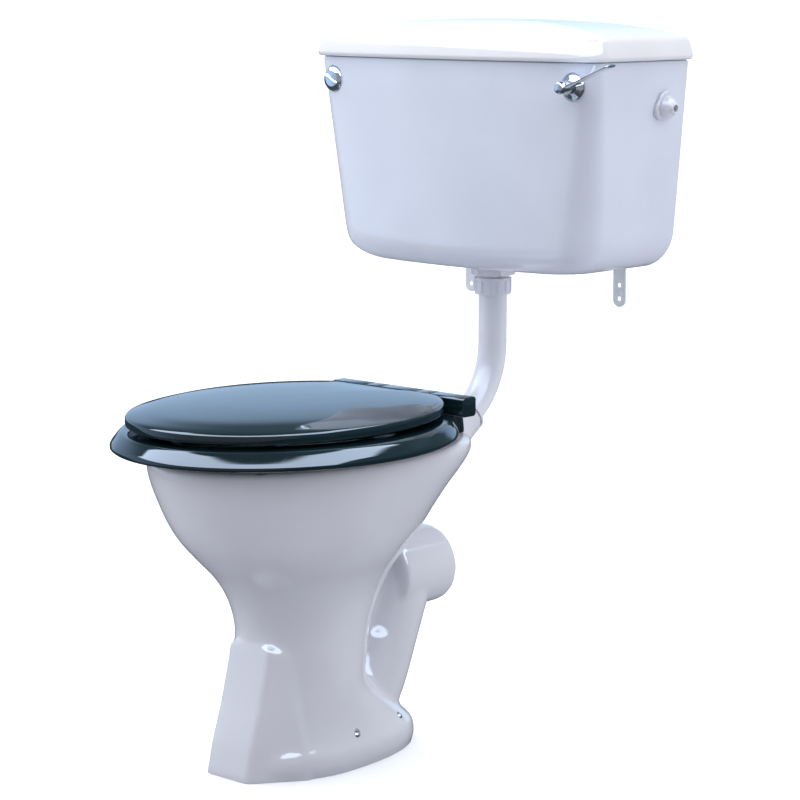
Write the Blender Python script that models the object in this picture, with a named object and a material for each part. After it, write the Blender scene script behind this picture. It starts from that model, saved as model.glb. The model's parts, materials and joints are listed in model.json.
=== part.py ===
"""Low-level toilet suite: wash-down pan, wall cistern, flush pipe, siphon, float valve and seat.

Units are metres and +Z is up. The pan's front faces -Y. The origin is on the floor, in the middle
of the suite's plan. Depths are written as distances in front of the wall, which from_wall() turns
into Y, because that is how a plumber would measure them.
"""
import bpy
import bmesh
from math import cos, pi, radians, sin, sqrt
from mathutils import Vector

# ---------------------------------------------------------------- driving dimensions
WALL_Y = 0.3635                 # Y of the wall that the cistern hangs on
GAP = 0.0003                    # clearance between touching pieces
FIT = 0.0007                    # radial clearance of a round piece in a round hole
SHARP_ANGLE = radians(35)
FLAT_ANGLE = radians(0.2)       # faces within this angle become one before they are cut
WELD = 0.00002                  # points closer than this are one point

CISTERN_TOP, CISTERN_BOTTOM = 0.862, 0.592
CISTERN_HALF_WIDTH, CISTERN_DEPTH, CISTERN_BOW = 0.237, 0.194, 0.020
CISTERN_SIDE_TAPER, CISTERN_FRONT_TAPER = 0.023, 0.012
CISTERN_WALL, CISTERN_FLOOR = 0.009, 0.012
LID_TOP, LID_OVERHANG = 0.913, 0.0078

FITTING_X, FITTING_Z = 0.205, 0.832             # lever, and mirrored the blanking cap
SPOTFACE, SPOTFACE_RADIUS = 0.1954, 0.0178      # flat seat around those two holes
SIDE_HOLE_DEPTH, SIDE_HOLE_Z = 0.050, 0.804     # overflow, and mirrored the float valve

PIPE_DEPTH, PIPE_RADIUS, PIPE_BORE = 0.108, 0.0188, 0.0168
PIPE_BEND, PIPE_BEND_Z, PIPE_TURN = 0.105, 0.487, 59
TAIL_RADIUS, TAIL_END = 0.0215, 0.5625

SIPHON_LEG_X, SIPHON_LEG_RADIUS, SIPHON_LEG_TOP = 0.066, 0.0190, 0.735
LEVER_ROD_X = 0.097                             # lift rod and bell
BELL_RADIUS, BELL_LOW, BELL_HIGH = 0.052, 0.616, 0.690
LEVER_ARM_DROP = 20                             # degrees below level at rest
LEVER_RISE = 21.7                               # degrees above level of the handle's blade

VALVE_DEPTH, VALVE_PIN_X, VALVE_PIN_Z = 0.050, -0.148, 0.786
VALVE_TAIL_X = -0.2838
FLOAT_CENTRE = (-0.078, 0.076, 0.748)           # x, distance from the wall, z
FLOAT_RADIUS = 0.045

HINGE_DEPTH, HINGE_Z, HINGE_ROD = 0.285, 0.4335, 0.0030
HINGE_HALF_LENGTH, HINGE_SIZE = 0.114, 0.0250
COVER_KNUCKLE, RING_KNUCKLE = 0.0295, 0.0560    # outer ends of each knuckle, from the middle
SEAT_BACK = 0.302
BOLT_X, BOLT_DEPTH = 0.0775, 0.273
DECK_UNDER, BOLT_END = 0.3700, 0.3560           # underside of the deck at the seat bolts
RIM_TOP = 0.396

# Pan plan sections: z, half width, front, rear, squareness of the rear half.
PAN_LEVELS = (
    (0.000, 0.0900, 0.597, 0.302, 2.3), (0.010, 0.0925, 0.600, 0.298, 2.3),
    (0.026, 0.0910, 0.597, 0.301, 2.3), (0.038, 0.0860, 0.590, 0.312, 2.2),
    (0.060, 0.0810, 0.580, 0.340, 2.1), (0.095, 0.0775, 0.571, 0.385, 2.0),
    (0.135, 0.0755, 0.564, 0.382, 2.0), (0.165, 0.0750, 0.561, 0.375, 2.0),
    (0.190, 0.0775, 0.565, 0.363, 2.0), (0.215, 0.0840, 0.575, 0.350, 2.0),
    (0.240, 0.0960, 0.592, 0.334, 2.0), (0.265, 0.1130, 0.617, 0.317, 2.0),
    (0.290, 0.1270, 0.641, 0.300, 2.1), (0.315, 0.1370, 0.658, 0.284, 2.2),
    (0.340, 0.1450, 0.670, 0.268, 2.4), (0.362, 0.1515, 0.679, 0.250, 2.6),
    (0.380, 0.1550, 0.684, 0.241, 2.8), (0.391, 0.1550, 0.684, 0.240, 2.8),
    (RIM_TOP, 0.1510, 0.680, 0.244, 2.8))
PAN_MIDDLE = 0.475

# Bowl sections from the rim down to the trap: z, half width, front, rear.
BOWL_LEVELS = (
    (0.410, 0.116, 0.640, 0.338), (0.350, 0.116, 0.640, 0.338), (0.346, 0.132, 0.656, 0.322),
    (0.322, 0.125, 0.646, 0.324), (0.290, 0.114, 0.628, 0.330), (0.262, 0.099, 0.602, 0.342),
    (0.236, 0.081, 0.572, 0.356), (0.205, 0.067, 0.549, 0.372), (0.175, 0.058, 0.530, 0.386),
    (0.150, 0.048, 0.510, 0.402))
RIM_CHANNEL = ((0.343, 0.126, 0.650, 0.328), (0.384, 0.126, 0.650, 0.328),
               (0.384, 0.144, 0.672, 0.312), (0.343, 0.133, 0.658, 0.316))
FOOT_HOLLOW = ((-0.010, 0.062, 0.052), (0.060, 0.052, 0.042), (0.125, 0.040, 0.022))
FOOT_HOLLOW_MIDDLE = 0.535
BOWL_MIDDLE = 0.462

WATERWAY = ((0.452, 0.160), (0.444, 0.122), (0.425, 0.085), (0.397, 0.065), (0.369, 0.071),
            (0.350, 0.098), (0.335, 0.130), (0.321, 0.160), (0.304, 0.189), (0.281, 0.207),
            (0.253, 0.210), (0.222, 0.210))
WATERWAY_RADIUS, TRAP_RADIUS = 0.036, 0.0430     # the trap's bore, and the china around it
TRAP_LEG = ((0.372, 0.025), (0.358, 0.060), (0.345, 0.084), (0.334, 0.109), (0.324, 0.134),
            (0.313, 0.160), (0.301, 0.190), (0.292, 0.212))
TRAP_LEG_HALF_WIDTH, TRAP_LEG_HALF_DEPTH = 0.047, 0.045
OUTLET_Z, OUTLET_RADIUS = 0.210, 0.051
OUTLET_ROOT, OUTLET_END = 0.330, 0.234          # spigot, as distances from the wall
WEB_HALF_WIDTH = 0.024
WEB_OUTLINE = ((0.430, 0.060), (0.350, 0.060), (0.300, 0.245), (0.325, 0.276), (0.430, 0.250))

# Pedestal front: z, depth and half width of the flat, depth and half width of the facet's end.
PEDESTAL_FRONT = (
    (0.000, 0.6040, 0.0345, 0.540, 0.0800), (0.040, 0.5945, 0.0345, 0.540, 0.0720),
    (0.087, 0.5790, 0.0345, 0.542, 0.0615), (0.135, 0.5665, 0.0345, 0.540, 0.0530))
PEDESTAL_TOP = (0.160, 0.5620, 0.0345, 0.538, 0.052)
PEDESTAL_FACET_DROP = 0.012

FLOOR_SCREWS = {"front": (0.0825, 0.460, 0.0400), "rear": (0.0610, 0.359, 0.0380)}
SCREW_LEAN = 40                                 # degrees outwards from upright


# ---------------------------------------------------------------- small tools
def from_wall(distance):
    return WALL_Y - distance


def clear_scene():
    for old in list(bpy.data.objects):
        bpy.data.objects.remove(old, do_unlink=True)


def make_material(name, colour, roughness, metallic=0.0):
    material = bpy.data.materials.new(name)
    material.use_nodes = True
    shader = material.node_tree.nodes["Principled BSDF"]
    shader.inputs["Base Color"].default_value = (*colour, 1.0)
    shader.inputs["Roughness"].default_value = roughness
    shader.inputs["Metallic"].default_value = metallic
    return material


def make_materials():
    return {
        "glaze": make_material("glaze", (0.74, 0.76, 0.82), 0.10),
        "white_plastic": make_material("white_plastic", (0.80, 0.80, 0.84), 0.30),
        "black_gloss": make_material("black_gloss", (0.010, 0.022, 0.026), 0.12),
        "chrome": make_material("chrome", (0.78, 0.79, 0.81), 0.08, 1.0),
        "brass": make_material("brass", (0.72, 0.53, 0.24), 0.30, 1.0),
        "steel": make_material("steel", (0.55, 0.56, 0.58), 0.30, 1.0),
        "rubber": make_material("rubber", (0.03, 0.03, 0.03), 0.80),
        "orange_plastic": make_material("orange_plastic", (0.80, 0.22, 0.04), 0.40)}


def finish_mesh(obj, material):
    """Point the faces outwards, shade the piece smooth and give it its material."""
    mesh = obj.data
    work = bmesh.new()
    work.from_mesh(mesh)
    bmesh.ops.remove_doubles(work, verts=work.verts, dist=WELD)
    bmesh.ops.dissolve_limit(work, angle_limit=FLAT_ANGLE, verts=work.verts, edges=work.edges)
    bmesh.ops.triangulate(work, faces=work.faces)
    bmesh.ops.recalc_face_normals(work, faces=work.faces)
    work.to_mesh(mesh)
    work.free()
    mesh.materials.clear()
    mesh.materials.append(material)
    mesh.shade_smooth()
    mesh.set_sharp_from_angle(angle=SHARP_ANGLE)


def loft(name, rings, material, closed=False):
    """Skin equal rings of points in order; the ends are capped, or joined when closed is set."""
    count = len(rings[0])
    verts = [point for ring in rings for point in ring]
    faces = []
    last = len(rings) if closed else len(rings) - 1
    for level in range(last):
        low, high = level * count, (level + 1) % len(rings) * count
        for i in range(count):
            j = (i + 1) % count
            faces.append((low + i, low + j, high + j, high + i))
    if not closed:
        faces.append(tuple(range(count)))
        faces.append(tuple(range(len(verts) - count, len(verts))))
    mesh = bpy.data.meshes.new(name)
    mesh.from_pydata(verts, [], faces)
    obj = bpy.data.objects.new(name, mesh)
    bpy.context.collection.objects.link(obj)
    finish_mesh(obj, material)
    return obj


def turned(name, profile, centre, axis, material, sides=16, bored=False, turn=0.0):
    """Revolve (radius, height) points about an axis through centre; bored closes the profile."""
    lean = Vector((0, 0, 1)).rotation_difference(Vector(axis))
    rings = []
    for radius, height in profile:
        ring = []
        for i in range(sides):
            angle = 2 * pi * i / sides + turn
            local = Vector((radius * cos(angle), radius * sin(angle), height))
            ring.append(tuple(Vector(centre) + lean @ local))
        rings.append(ring)
    return loft(name, rings, material, closed=bored)


def washer(name, inner, outer, low, high, centre, axis, material, sides=16, turn=0.0):
    """A flat ring; six sides make it a hexagonal nut with a hexagonal bore."""
    profile = ((inner, low), (outer, low), (outer, high), (inner, high))
    return turned(name, profile, centre, axis, material, sides, True, turn)


def nut(name, bore, across, low, high, centre, axis, material, turn=0.0):
    """A hexagonal nut with a round bore; three points are spent on each side of the hexagon."""
    lean = Vector((0, 0, 1)).rotation_difference(Vector(axis))
    count = 18
    rings = []
    for hexagon, height in ((False, low), (True, low), (True, high), (False, high)):
        ring = []
        for i in range(count):
            angle = 2 * pi * i / count
            from_flat = (angle + pi / 6) % (pi / 3) - pi / 6
            radius = across / 2 / cos(from_flat) if hexagon else bore
            local = Vector((radius * cos(angle + turn), radius * sin(angle + turn), height))
            ring.append(tuple(Vector(centre) + lean @ local))
        rings.append(ring)
    return loft(name, rings, material, closed=True)


def sweep(name, path, across, along, material, normal=(1, 0, 0), sides=16, closed_bore=None):
    """Sweep an oval along a flat path whose plane has the given normal.

    across is the half size along that normal and along the half size in the plane. closed_bore
    makes the piece a pipe whose wall lies between that radius and the outer one.
    """
    points = [Vector(point) for point in path]
    normal = Vector(normal)
    outer, inner = [], []
    for i, point in enumerate(points):
        ahead = points[min(i + 1, len(points) - 1)]
        behind = points[max(i - 1, 0)]
        side = (ahead - behind).normalized().cross(normal)
        angles = [2 * pi * k / sides for k in range(sides)]
        outer.append([tuple(point + normal * across * cos(a) + side * along * sin(a))
                      for a in angles])
        if closed_bore:
            inner.append([tuple(point + (normal * cos(a) + side * sin(a)) * closed_bore)
                          for a in angles])
    if closed_bore:
        return loft(name, outer + inner[::-1], material, closed=True)
    return loft(name, outer, material)


def box(name, low, high, material):
    rings = [[(low[0], low[1], z), (high[0], low[1], z), (high[0], high[1], z),
              (low[0], high[1], z)] for z in (low[2], high[2])]
    return loft(name, rings, material)


def prism(name, outline, low_x, high_x, material):
    """Extrude an outline of (distance from the wall, z) along X."""
    rings = [[(x, from_wall(d), z) for d, z in outline] for x in (low_x, high_x)]
    return loft(name, rings, material)


def combine(target, other, operation):
    """Union or difference of two solids; the second one is used up."""
    material = target.data.materials[0]
    modifier = target.modifiers.new("combine", "BOOLEAN")
    modifier.operation = operation
    modifier.solver = "EXACT"
    modifier.object = other
    bpy.context.view_layer.update()
    scene_graph = bpy.context.evaluated_depsgraph_get()
    result = bpy.data.meshes.new_from_object(target.evaluated_get(scene_graph))
    target.modifiers.clear()
    target.data = result
    bpy.data.objects.remove(other, do_unlink=True)
    finish_mesh(target, material)
    return target


def join(target, *others):
    for other in others:
        combine(target, other, "UNION")
    return target


def cut(target, *cutters):
    for cutter in cutters:
        combine(target, cutter, "DIFFERENCE")
    return target


def arc(centre, radius, start, end, count):
    """Points on an arc, both ends included; angles in degrees."""
    steps = [radians(start + (end - start) * i / (count - 1)) for i in range(count)]
    return [(centre[0] + radius * cos(a), centre[1] + radius * sin(a)) for a in steps]


def axis_empty(name, location, *pieces):
    """An empty on a joint's axis that carries the moving pieces."""
    empty = bpy.data.objects.new(name, None)
    empty.location = location
    bpy.context.collection.objects.link(empty)
    bpy.context.view_layer.update()
    for piece in pieces:
        piece.parent = empty
        piece.matrix_parent_inverse = empty.matrix_world.inverted()


# ---------------------------------------------------------------- pan
def oval(z, half_width, front, rear, middle, square=2.0, count=32):
    """A plan section that is elliptical in front of its middle and squarer behind it."""
    ring = []
    for i in range(count):
        angle = 2 * pi * i / count
        across, forward = cos(angle), sin(angle)
        power = 2.0 / (2.0 if forward > 0 else square)
        reach = front - middle if forward > 0 else middle - rear
        x = half_width * abs(across) ** power * (1 if across > 0 else -1)
        distance = middle + reach * abs(forward) ** power * (1 if forward > 0 else -1)
        ring.append((x, from_wall(distance), z))
    return ring


def pan_shell(material):
    rings = [oval(z, width, front, rear, PAN_MIDDLE, square)
             for z, width, front, rear, square in PAN_LEVELS]
    return loft("pan", rings, material)


def pedestal_front(material):
    """The flat front of the pedestal with a facet on each side of it."""
    rings = []
    inside = 0.500
    for z, flat, half_flat, facet, half_facet in (*PEDESTAL_FRONT, PEDESTAL_TOP):
        drop = PEDESTAL_FACET_DROP if z == PEDESTAL_TOP[0] else 0.0
        rings.append([(-0.02, from_wall(inside), z), (-half_facet, from_wall(facet), z - drop),
                      (-half_flat, from_wall(flat), z), (half_flat, from_wall(flat), z),
                      (half_facet, from_wall(facet), z - drop), (0.02, from_wall(inside), z)])
    return loft("pedestal_front", rings, material)


def flush_route():
    """Centre line of the flush pipe's bend as (distance, z), from the top down."""
    centre = (PIPE_DEPTH + PIPE_BEND, PIPE_BEND_Z)
    return [(centre[0] - PIPE_BEND * cos(radians(turn)), centre[1] - PIPE_BEND * sin(radians(turn)))
            for turn in range(0, PIPE_TURN + 1, 6)]


def horn_point(distance_in):
    """A point on the horn's axis, measured inwards from its mouth."""
    turn = radians(PIPE_TURN)
    mouth = (PIPE_DEPTH + PIPE_BEND * (1 - cos(turn)), PIPE_BEND_Z - PIPE_BEND * sin(turn))
    return mouth[0] + distance_in * sin(turn), mouth[1] - distance_in * cos(turn)


def on_centre(distance, z):
    return (0.0, from_wall(distance), z)


def horn_axis():
    turn = radians(PIPE_TURN)
    return (0.0, -sin(turn), -cos(turn))


def screw_axis(side):
    """Direction of a floor screw: up and outwards."""
    return (side * sin(radians(SCREW_LEAN)), 0.0, cos(radians(SCREW_LEAN)))


def make_pan(materials):
    glaze = materials["glaze"]
    pan = pan_shell(glaze)
    leg = sweep("leg", [on_centre(*point) for point in TRAP_LEG], TRAP_LEG_HALF_WIDTH,
                TRAP_LEG_HALF_DEPTH, glaze, sides=16)
    spigot = turned("spigot", ((OUTLET_RADIUS, 0.0), (OUTLET_RADIUS, OUTLET_ROOT - OUTLET_END)),
                    on_centre(OUTLET_ROOT, OUTLET_Z), (0, 1, 0), glaze, sides=24)
    web = prism("web", WEB_OUTLINE, -WEB_HALF_WIDTH, WEB_HALF_WIDTH, glaze)
    horn = turned("horn", ((0.0262, 0.0), (0.0262, 0.016), (0.030, 0.045), (0.040, 0.085)),
                  on_centre(*horn_point(0.002)), horn_axis(), glaze, sides=24)
    trap = sweep("trap", [on_centre(*point) for point in WATERWAY[1:7]], TRAP_RADIUS, TRAP_RADIUS,
                 glaze, sides=16)
    join(pan, pedestal_front(glaze), web, leg, trap, spigot, horn)

    bowl = loft("bowl", [oval(z, width, front, rear, BOWL_MIDDLE, 2.0, 32)
                         for z, width, front, rear in BOWL_LEVELS], glaze)
    waterway = sweep("waterway", [on_centre(*point) for point in WATERWAY], WATERWAY_RADIUS,
                     WATERWAY_RADIUS, glaze, sides=16)
    join(bowl, waterway)
    mouth = turned("mouth", ((0.0222, -0.004), (0.0222, 0.036)), on_centre(*horn_point(0.0)),
                   horn_axis(), glaze, sides=24)
    feed_route = (horn_point(0.030), (0.232, 0.354), (0.265, 0.346), (0.348, 0.341))
    feed = sweep("feed", [on_centre(*point) for point in feed_route], 0.013, 0.013, glaze, sides=12)
    middle = FOOT_HOLLOW_MIDDLE
    hollow = loft("hollow", [oval(z, width, middle + deep, middle - deep, middle, 2.0, 24)
                             for z, width, deep in FOOT_HOLLOW], glaze)
    channel = loft("channel", [oval(z, width, front, rear, BOWL_MIDDLE, 2.0, 32)
                               for z, width, front, rear in RIM_CHANNEL], glaze, closed=True)
    cut(pan, bowl, mouth, feed, hollow, channel)
    for side in (-1, 1):
        bolt_hole = turned("bolt_hole", ((0.0060, -0.09), (0.0060, 0.03)),
                           (side * BOLT_X, from_wall(BOLT_DEPTH), RIM_TOP), (0, 0, 1), glaze, 12)
        under = turned("under", ((0.0135, -0.050), (0.0135, 0.0)),
                       (side * BOLT_X, from_wall(BOLT_DEPTH), DECK_UNDER), (0, 0, 1), glaze, 16)
        cut(pan, bolt_hole, under)
        for x, distance, z in FLOOR_SCREWS.values():
            place = (side * x, from_wall(distance), z)
            seat = turned("seat", ((0.0050, 0.0), (0.0050, 0.022)), place, screw_axis(side), glaze, 12)
            hole = turned("hole", ((0.0031, -0.06), (0.0031, 0.01)), place, screw_axis(side), glaze, 12)
            cut(pan, seat, hole)


def make_floor_screws(materials):
    for end, (x, distance, z) in FLOOR_SCREWS.items():
        for side, label in ((-1, "left"), (1, "right")):
            profile = ((0.0005, -0.0295), (0.0024, -0.025), (0.0024, 0.0005), (0.0042, 0.0005),
                       (0.0040, 0.0024), (0.0024, 0.0037), (0.0005, 0.0041))
            turned(f"floor_screw_{end}_{label}", profile,
                   (side * x, from_wall(distance), z), screw_axis(side), materials["steel"], 12)


# ---------------------------------------------------------------- flush pipe
def make_flush_pipe(materials):
    top = TAIL_END - 0.004
    straight = [(PIPE_DEPTH, top), (PIPE_DEPTH, 0.52)]
    route = straight + flush_route() + [horn_point(0.0), horn_point(0.030)]
    pipe = sweep("flush_pipe", [on_centre(*point) for point in route], PIPE_RADIUS, PIPE_RADIUS,
                 materials["white_plastic"], sides=20, closed_bore=PIPE_BORE)
    collar = washer("collar", 0.0175, 0.0205, -0.0025, 0.0, on_centre(PIPE_DEPTH, top), (0, 0, 1),
                    materials["white_plastic"])
    join(pipe, collar)
    washer("flush_pipe_seal", 0.0175, 0.0205, GAP, 0.0036, on_centre(PIPE_DEPTH, top),
           (0, 0, 1), materials["rubber"])
    low, high = 0.552, 0.574
    lip, thread = PIPE_RADIUS + FIT, TAIL_RADIUS + FIT
    nut_profile = ((lip, low), (0.0235, low), (0.0252, low + 0.0012), (0.0252, high), (thread, high),
                   (thread, low + 0.0035), (lip, low + 0.0035))
    turned("flush_pipe_nut", nut_profile, on_centre(PIPE_DEPTH, 0.0), (0, 0, 1),
           materials["white_plastic"], 16, True)
    turned("flush_cone", ((PIPE_RADIUS + FIT, 0.028), (PIPE_RADIUS + FIT, -0.003), (0.0245, -0.003),
                          (0.0255, -0.0003), (0.0255, 0.0015), (0.0217, 0.0015), (0.0217, 0.028)),
           on_centre(*horn_point(0.0)), horn_axis(), materials["white_plastic"], 24, True)


# ---------------------------------------------------------------- cistern
def cistern_plan(half_width, back, front, bow, back_radius, front_radius):
    """Plan outline of the cistern: square back, rounded front corners, bowed front."""
    half = [(0.0, back), (half_width * 0.5, back)]
    half += arc((half_width - back_radius, back + back_radius), back_radius, -90, 0, 3)
    half += arc((half_width - front_radius, front - front_radius), front_radius, 0, 90, 5)
    edge = half[-1][0]
    half += [(edge * share, front) for share in (0.75, 0.5, 0.25, 0.0)]
    bowed = []
    for x, distance in half:
        nearness = max(0.0, (distance - (front - front_radius)) / front_radius)
        bowed.append((x, distance + bow * (1 - (x / half_width) ** 2) * nearness))
    return bowed + [(-x, distance) for x, distance in bowed[-2:0:-1]]


def cistern_section(z, inset=0.0, front_inset=0.0, back_inset=0.0):
    """The cistern's outer plan at a height, moved inwards by the insets."""
    down = (CISTERN_TOP - z) / (CISTERN_TOP - CISTERN_BOTTOM)
    front = CISTERN_DEPTH - CISTERN_FRONT_TAPER * down - front_inset
    half_width = CISTERN_HALF_WIDTH - CISTERN_SIDE_TAPER * down - inset
    front_radius = max(0.010, 0.020 + 0.025 * down - min(inset, 0.009))
    plan = cistern_plan(half_width, back_inset + 0.0005, front, CISTERN_BOW, 0.006, front_radius)
    return [(x, from_wall(distance), z) for x, distance in plan]


def rounded_inset(height, radius):
    """How far a rounded bottom edge lies inwards at a height above the bottom."""
    return radius - sqrt(radius ** 2 - (radius - min(height, radius)) ** 2)


def cistern_body_rings():
    """Rings from the middle of the inner floor, up the inside, over the rim and down outside."""
    floor = CISTERN_BOTTOM + CISTERN_FLOOR
    rings = []
    for height in (0.0, 0.004, 0.016, 0.040):
        side, front = rounded_inset(height, 0.040), rounded_inset(height, 0.022)
        rings.append(cistern_section(floor + height, CISTERN_WALL + side, CISTERN_WALL + front,
                                     CISTERN_WALL))
    rings.append(cistern_section(CISTERN_TOP, CISTERN_WALL, CISTERN_WALL, CISTERN_WALL))
    rings.append(cistern_section(CISTERN_TOP))
    for height in (0.160, 0.070, 0.046, 0.028, 0.014, 0.005, 0.0012, 0.0):
        side, front = rounded_inset(height, 0.050), rounded_inset(height, 0.032)
        rings.append(cistern_section(CISTERN_BOTTOM + height, side, front,
                                     rounded_inset(height, 0.006)))
    return rings


def make_cistern(materials):
    glaze = materials["glaze"]
    body = loft("cistern_body", cistern_body_rings(), glaze)
    holes = [turned("tail_hole", ((TAIL_RADIUS + 0.001, -0.03), (TAIL_RADIUS + 0.001, 0.05)),
                    on_centre(PIPE_DEPTH, CISTERN_BOTTOM), (0, 0, 1), glaze)]
    for side in (-1, 1):
        place = (side * FITTING_X, from_wall(SPOTFACE), FITTING_Z)
        holes.append(turned("spotface", ((SPOTFACE_RADIUS, 0.0), (SPOTFACE_RADIUS, 0.03)), place,
                            (0, -1, 0), glaze, 24))
        holes.append(turned("front_hole", ((0.0078, -0.02), (0.0078, 0.01)), place, (0, -1, 0),
                            glaze, 16))
        place = (side * CISTERN_HALF_WIDTH, from_wall(SIDE_HOLE_DEPTH), SIDE_HOLE_Z)
        holes.append(turned("side_hole", ((0.0112, -0.03), (0.0112, 0.01)), place, (side, 0, 0),
                            glaze, 16))
    cut(body, *holes)


def make_lid(materials):
    """The lid: hollow below, a locating lip inside the cistern, a rolled edge and a crown."""
    under = CISTERN_TOP + GAP
    lip_end = 0.8535
    rings = [cistern_section(z, inset, inset, inset)
             for z, inset in ((0.8900, 0.050), (0.8830, 0.024), (lip_end, 0.018), (lip_end, 0.012),
                              (under, 0.012), (under, 0.0))]
    edge = ((0.8635, 0.0050), (0.8665, LID_OVERHANG), (0.8780, 0.0046), (0.8860, 0.0016),
            (0.8895, -0.0020))
    for z, proud in edge:
        rings.append([(x, y, z) for x, y, _ in cistern_section(CISTERN_TOP, -proud, -proud)])
    middle = from_wall(0.104)
    top_plan = cistern_section(CISTERN_TOP)
    crown = ((0.93, 0.8945), (0.80, 0.9015), (0.55, 0.9085), (0.25, 0.9122), (0.04, LID_TOP))
    for share, z in crown:
        rings.append([(x * share, middle + (y - middle) * share, z) for x, y, _ in top_plan])
    lid = loft("cistern_lid", rings, materials["glaze"])
    axis_empty("lid_slide", on_centre(0.104, under), lid)


def make_brackets(materials):
    """Two angle brackets: a shelf under the cistern and a rounded, drilled tab on the wall."""
    for side, label in ((-1, "left"), (1, "right")):
        x = side * 0.1295
        tab = [(x - 0.010, 0.5908), (x - 0.010, 0.546)]
        tab += [(px, pz) for px, pz in arc((x, 0.545), 0.010, 180, 360, 8)]
        tab += [(x + 0.010, 0.546), (x + 0.010, 0.5908)]
        rings = [[(px, from_wall(distance), pz) for px, pz in tab] for distance in (0.0, 0.003)]
        plate = loft(f"wall_bracket_{label}", rings, materials["steel"])
        shelf = box("shelf", (x - 0.010, from_wall(0.055), 0.5883),
                    (x + 0.010, from_wall(0.001), CISTERN_BOTTOM - GAP), materials["steel"])
        join(plate, shelf)
        for z in (0.546, 0.564):
            cut(plate, turned("bracket_hole", ((0.0032, -0.01), (0.0032, 0.01)),
                              (x, from_wall(0.0015), z), (0, 1, 0), materials["steel"], 12))


# ---------------------------------------------------------------- siphon
def siphon_route(low_up, low_down):
    """The U of the siphon as points in the XZ plane: up leg, bend, down leg."""
    bend_radius = SIPHON_LEG_X / 2
    bend = arc((bend_radius, SIPHON_LEG_TOP), bend_radius, 0, 180, 9)
    points = [(SIPHON_LEG_X, low_up)] + bend + [(0.0, low_down)]
    return [(x, from_wall(PIPE_DEPTH), z) for x, z in points]


def make_siphon(materials):
    white = materials["white_plastic"]
    floor = CISTERN_BOTTOM + CISTERN_FLOOR
    bell_centre = (LEVER_ROD_X, from_wall(PIPE_DEPTH), 0.0)
    tail_centre = on_centre(PIPE_DEPTH, 0.0)
    siphon = turned("siphon_body", ((BELL_RADIUS, BELL_LOW), (BELL_RADIUS, BELL_HIGH - 0.004),
                                    (BELL_RADIUS - 0.004, BELL_HIGH)), bell_centre, (0, 0, 1), white, 22)
    legs = sweep("legs", siphon_route(BELL_HIGH - 0.008, TAIL_END), SIPHON_LEG_RADIUS,
                 SIPHON_LEG_RADIUS, white, normal=(0, 1, 0), sides=20)
    flange = turned("flange", ((TAIL_RADIUS, TAIL_END), (TAIL_RADIUS, floor + 0.0036),
                               (0.031, floor + 0.0036), (0.031, floor + 0.0076), (0.022, floor + 0.0160),
                               (SIPHON_LEG_RADIUS - 0.001, floor + 0.0200)),
                    tail_centre, (0, 0, 1), white, 24)
    join(siphon, legs, flange)
    chamber = turned("chamber", ((BELL_RADIUS - 0.003, BELL_LOW - 0.01),
                                 (BELL_RADIUS - 0.003, BELL_HIGH - 0.005)),
                     bell_centre, (0, 0, 1), white, 22)
    bore = sweep("bore", siphon_route(BELL_HIGH - 0.020, TAIL_END - 0.01), SIPHON_LEG_RADIUS - 0.0022,
                 SIPHON_LEG_RADIUS - 0.0022, white, normal=(0, 1, 0), sides=20)
    rod_hole = turned("rod_hole", ((0.0036, BELL_HIGH - 0.02), (0.0036, BELL_HIGH + 0.01)),
                      bell_centre, (0, 0, 1), white, 12)
    cut(siphon, chamber, bore, rod_hole)
    washer("siphon_washer", TAIL_RADIUS + FIT, 0.0310, floor + GAP, floor + 0.0033, tail_centre,
           (0, 0, 1), materials["rubber"], 24)
    nut("siphon_back_nut", TAIL_RADIUS + FIT, 0.0520, 0.5772, CISTERN_BOTTOM - GAP, tail_centre,
        (0, 0, 1), white)


def make_plunger(materials):
    """Plate, flap valve and lift rod; the rod's link pin lies over the lever arm."""
    centre = (LEVER_ROD_X, from_wall(PIPE_DEPTH), 0.0)
    plate_top = BELL_LOW + 0.0065
    link_z = arm_point(LEVER_ROD_X)[1] + 0.0015 / cos(radians(LEVER_ARM_DROP)) + 0.0028
    plate = turned("siphon_plunger", ((0.044, plate_top - 0.003), (0.044, plate_top),
                                      (0.006, plate_top + 0.003), (0.0024, plate_top + 0.005),
                                      (0.0024, link_z + 0.004), (0.0012, link_z + 0.006)),
                   centre, (0, 0, 1), materials["white_plastic"], 20)
    pin = turned("link_pin", ((0.0018, -0.0075), (0.0018, 0.0075)), (centre[0], centre[1], link_z),
                 (0, 1, 0), materials["brass"], 10)
    join(plate, pin)
    flap = washer("siphon_flap", 0.0065, 0.0470, plate_top + 0.0033, plate_top + 0.0043, centre,
                  (0, 0, 1), materials["rubber"], 20)
    axis_empty("plunger_slide", (centre[0], centre[1], plate_top), plate, flap)


# ---------------------------------------------------------------- lever
def arm_point(x):
    """A point on the lever arm's centre line at rest, as (x, z)."""
    reach = FITTING_X - x
    drop = radians(LEVER_ARM_DROP)
    return x, FITTING_Z - reach * sin(drop) / cos(drop)


def bar(name, start, end, thickness, distance_range, material):
    """A flat bar between two (x, z) points that spans a range of distances from the wall."""
    line = Vector((end[0] - start[0], end[1] - start[1])).normalized()
    across = Vector((-line.y, line.x)) * thickness / 2
    corners = [(start[0] + across.x, start[1] + across.y), (start[0] - across.x, start[1] - across.y),
               (end[0] - across.x, end[1] - across.y), (end[0] + across.x, end[1] + across.y)]
    rings = [[(x, from_wall(distance), z) for x, z in corners] for distance in distance_range]
    return loft(name, rings, material)


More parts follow.
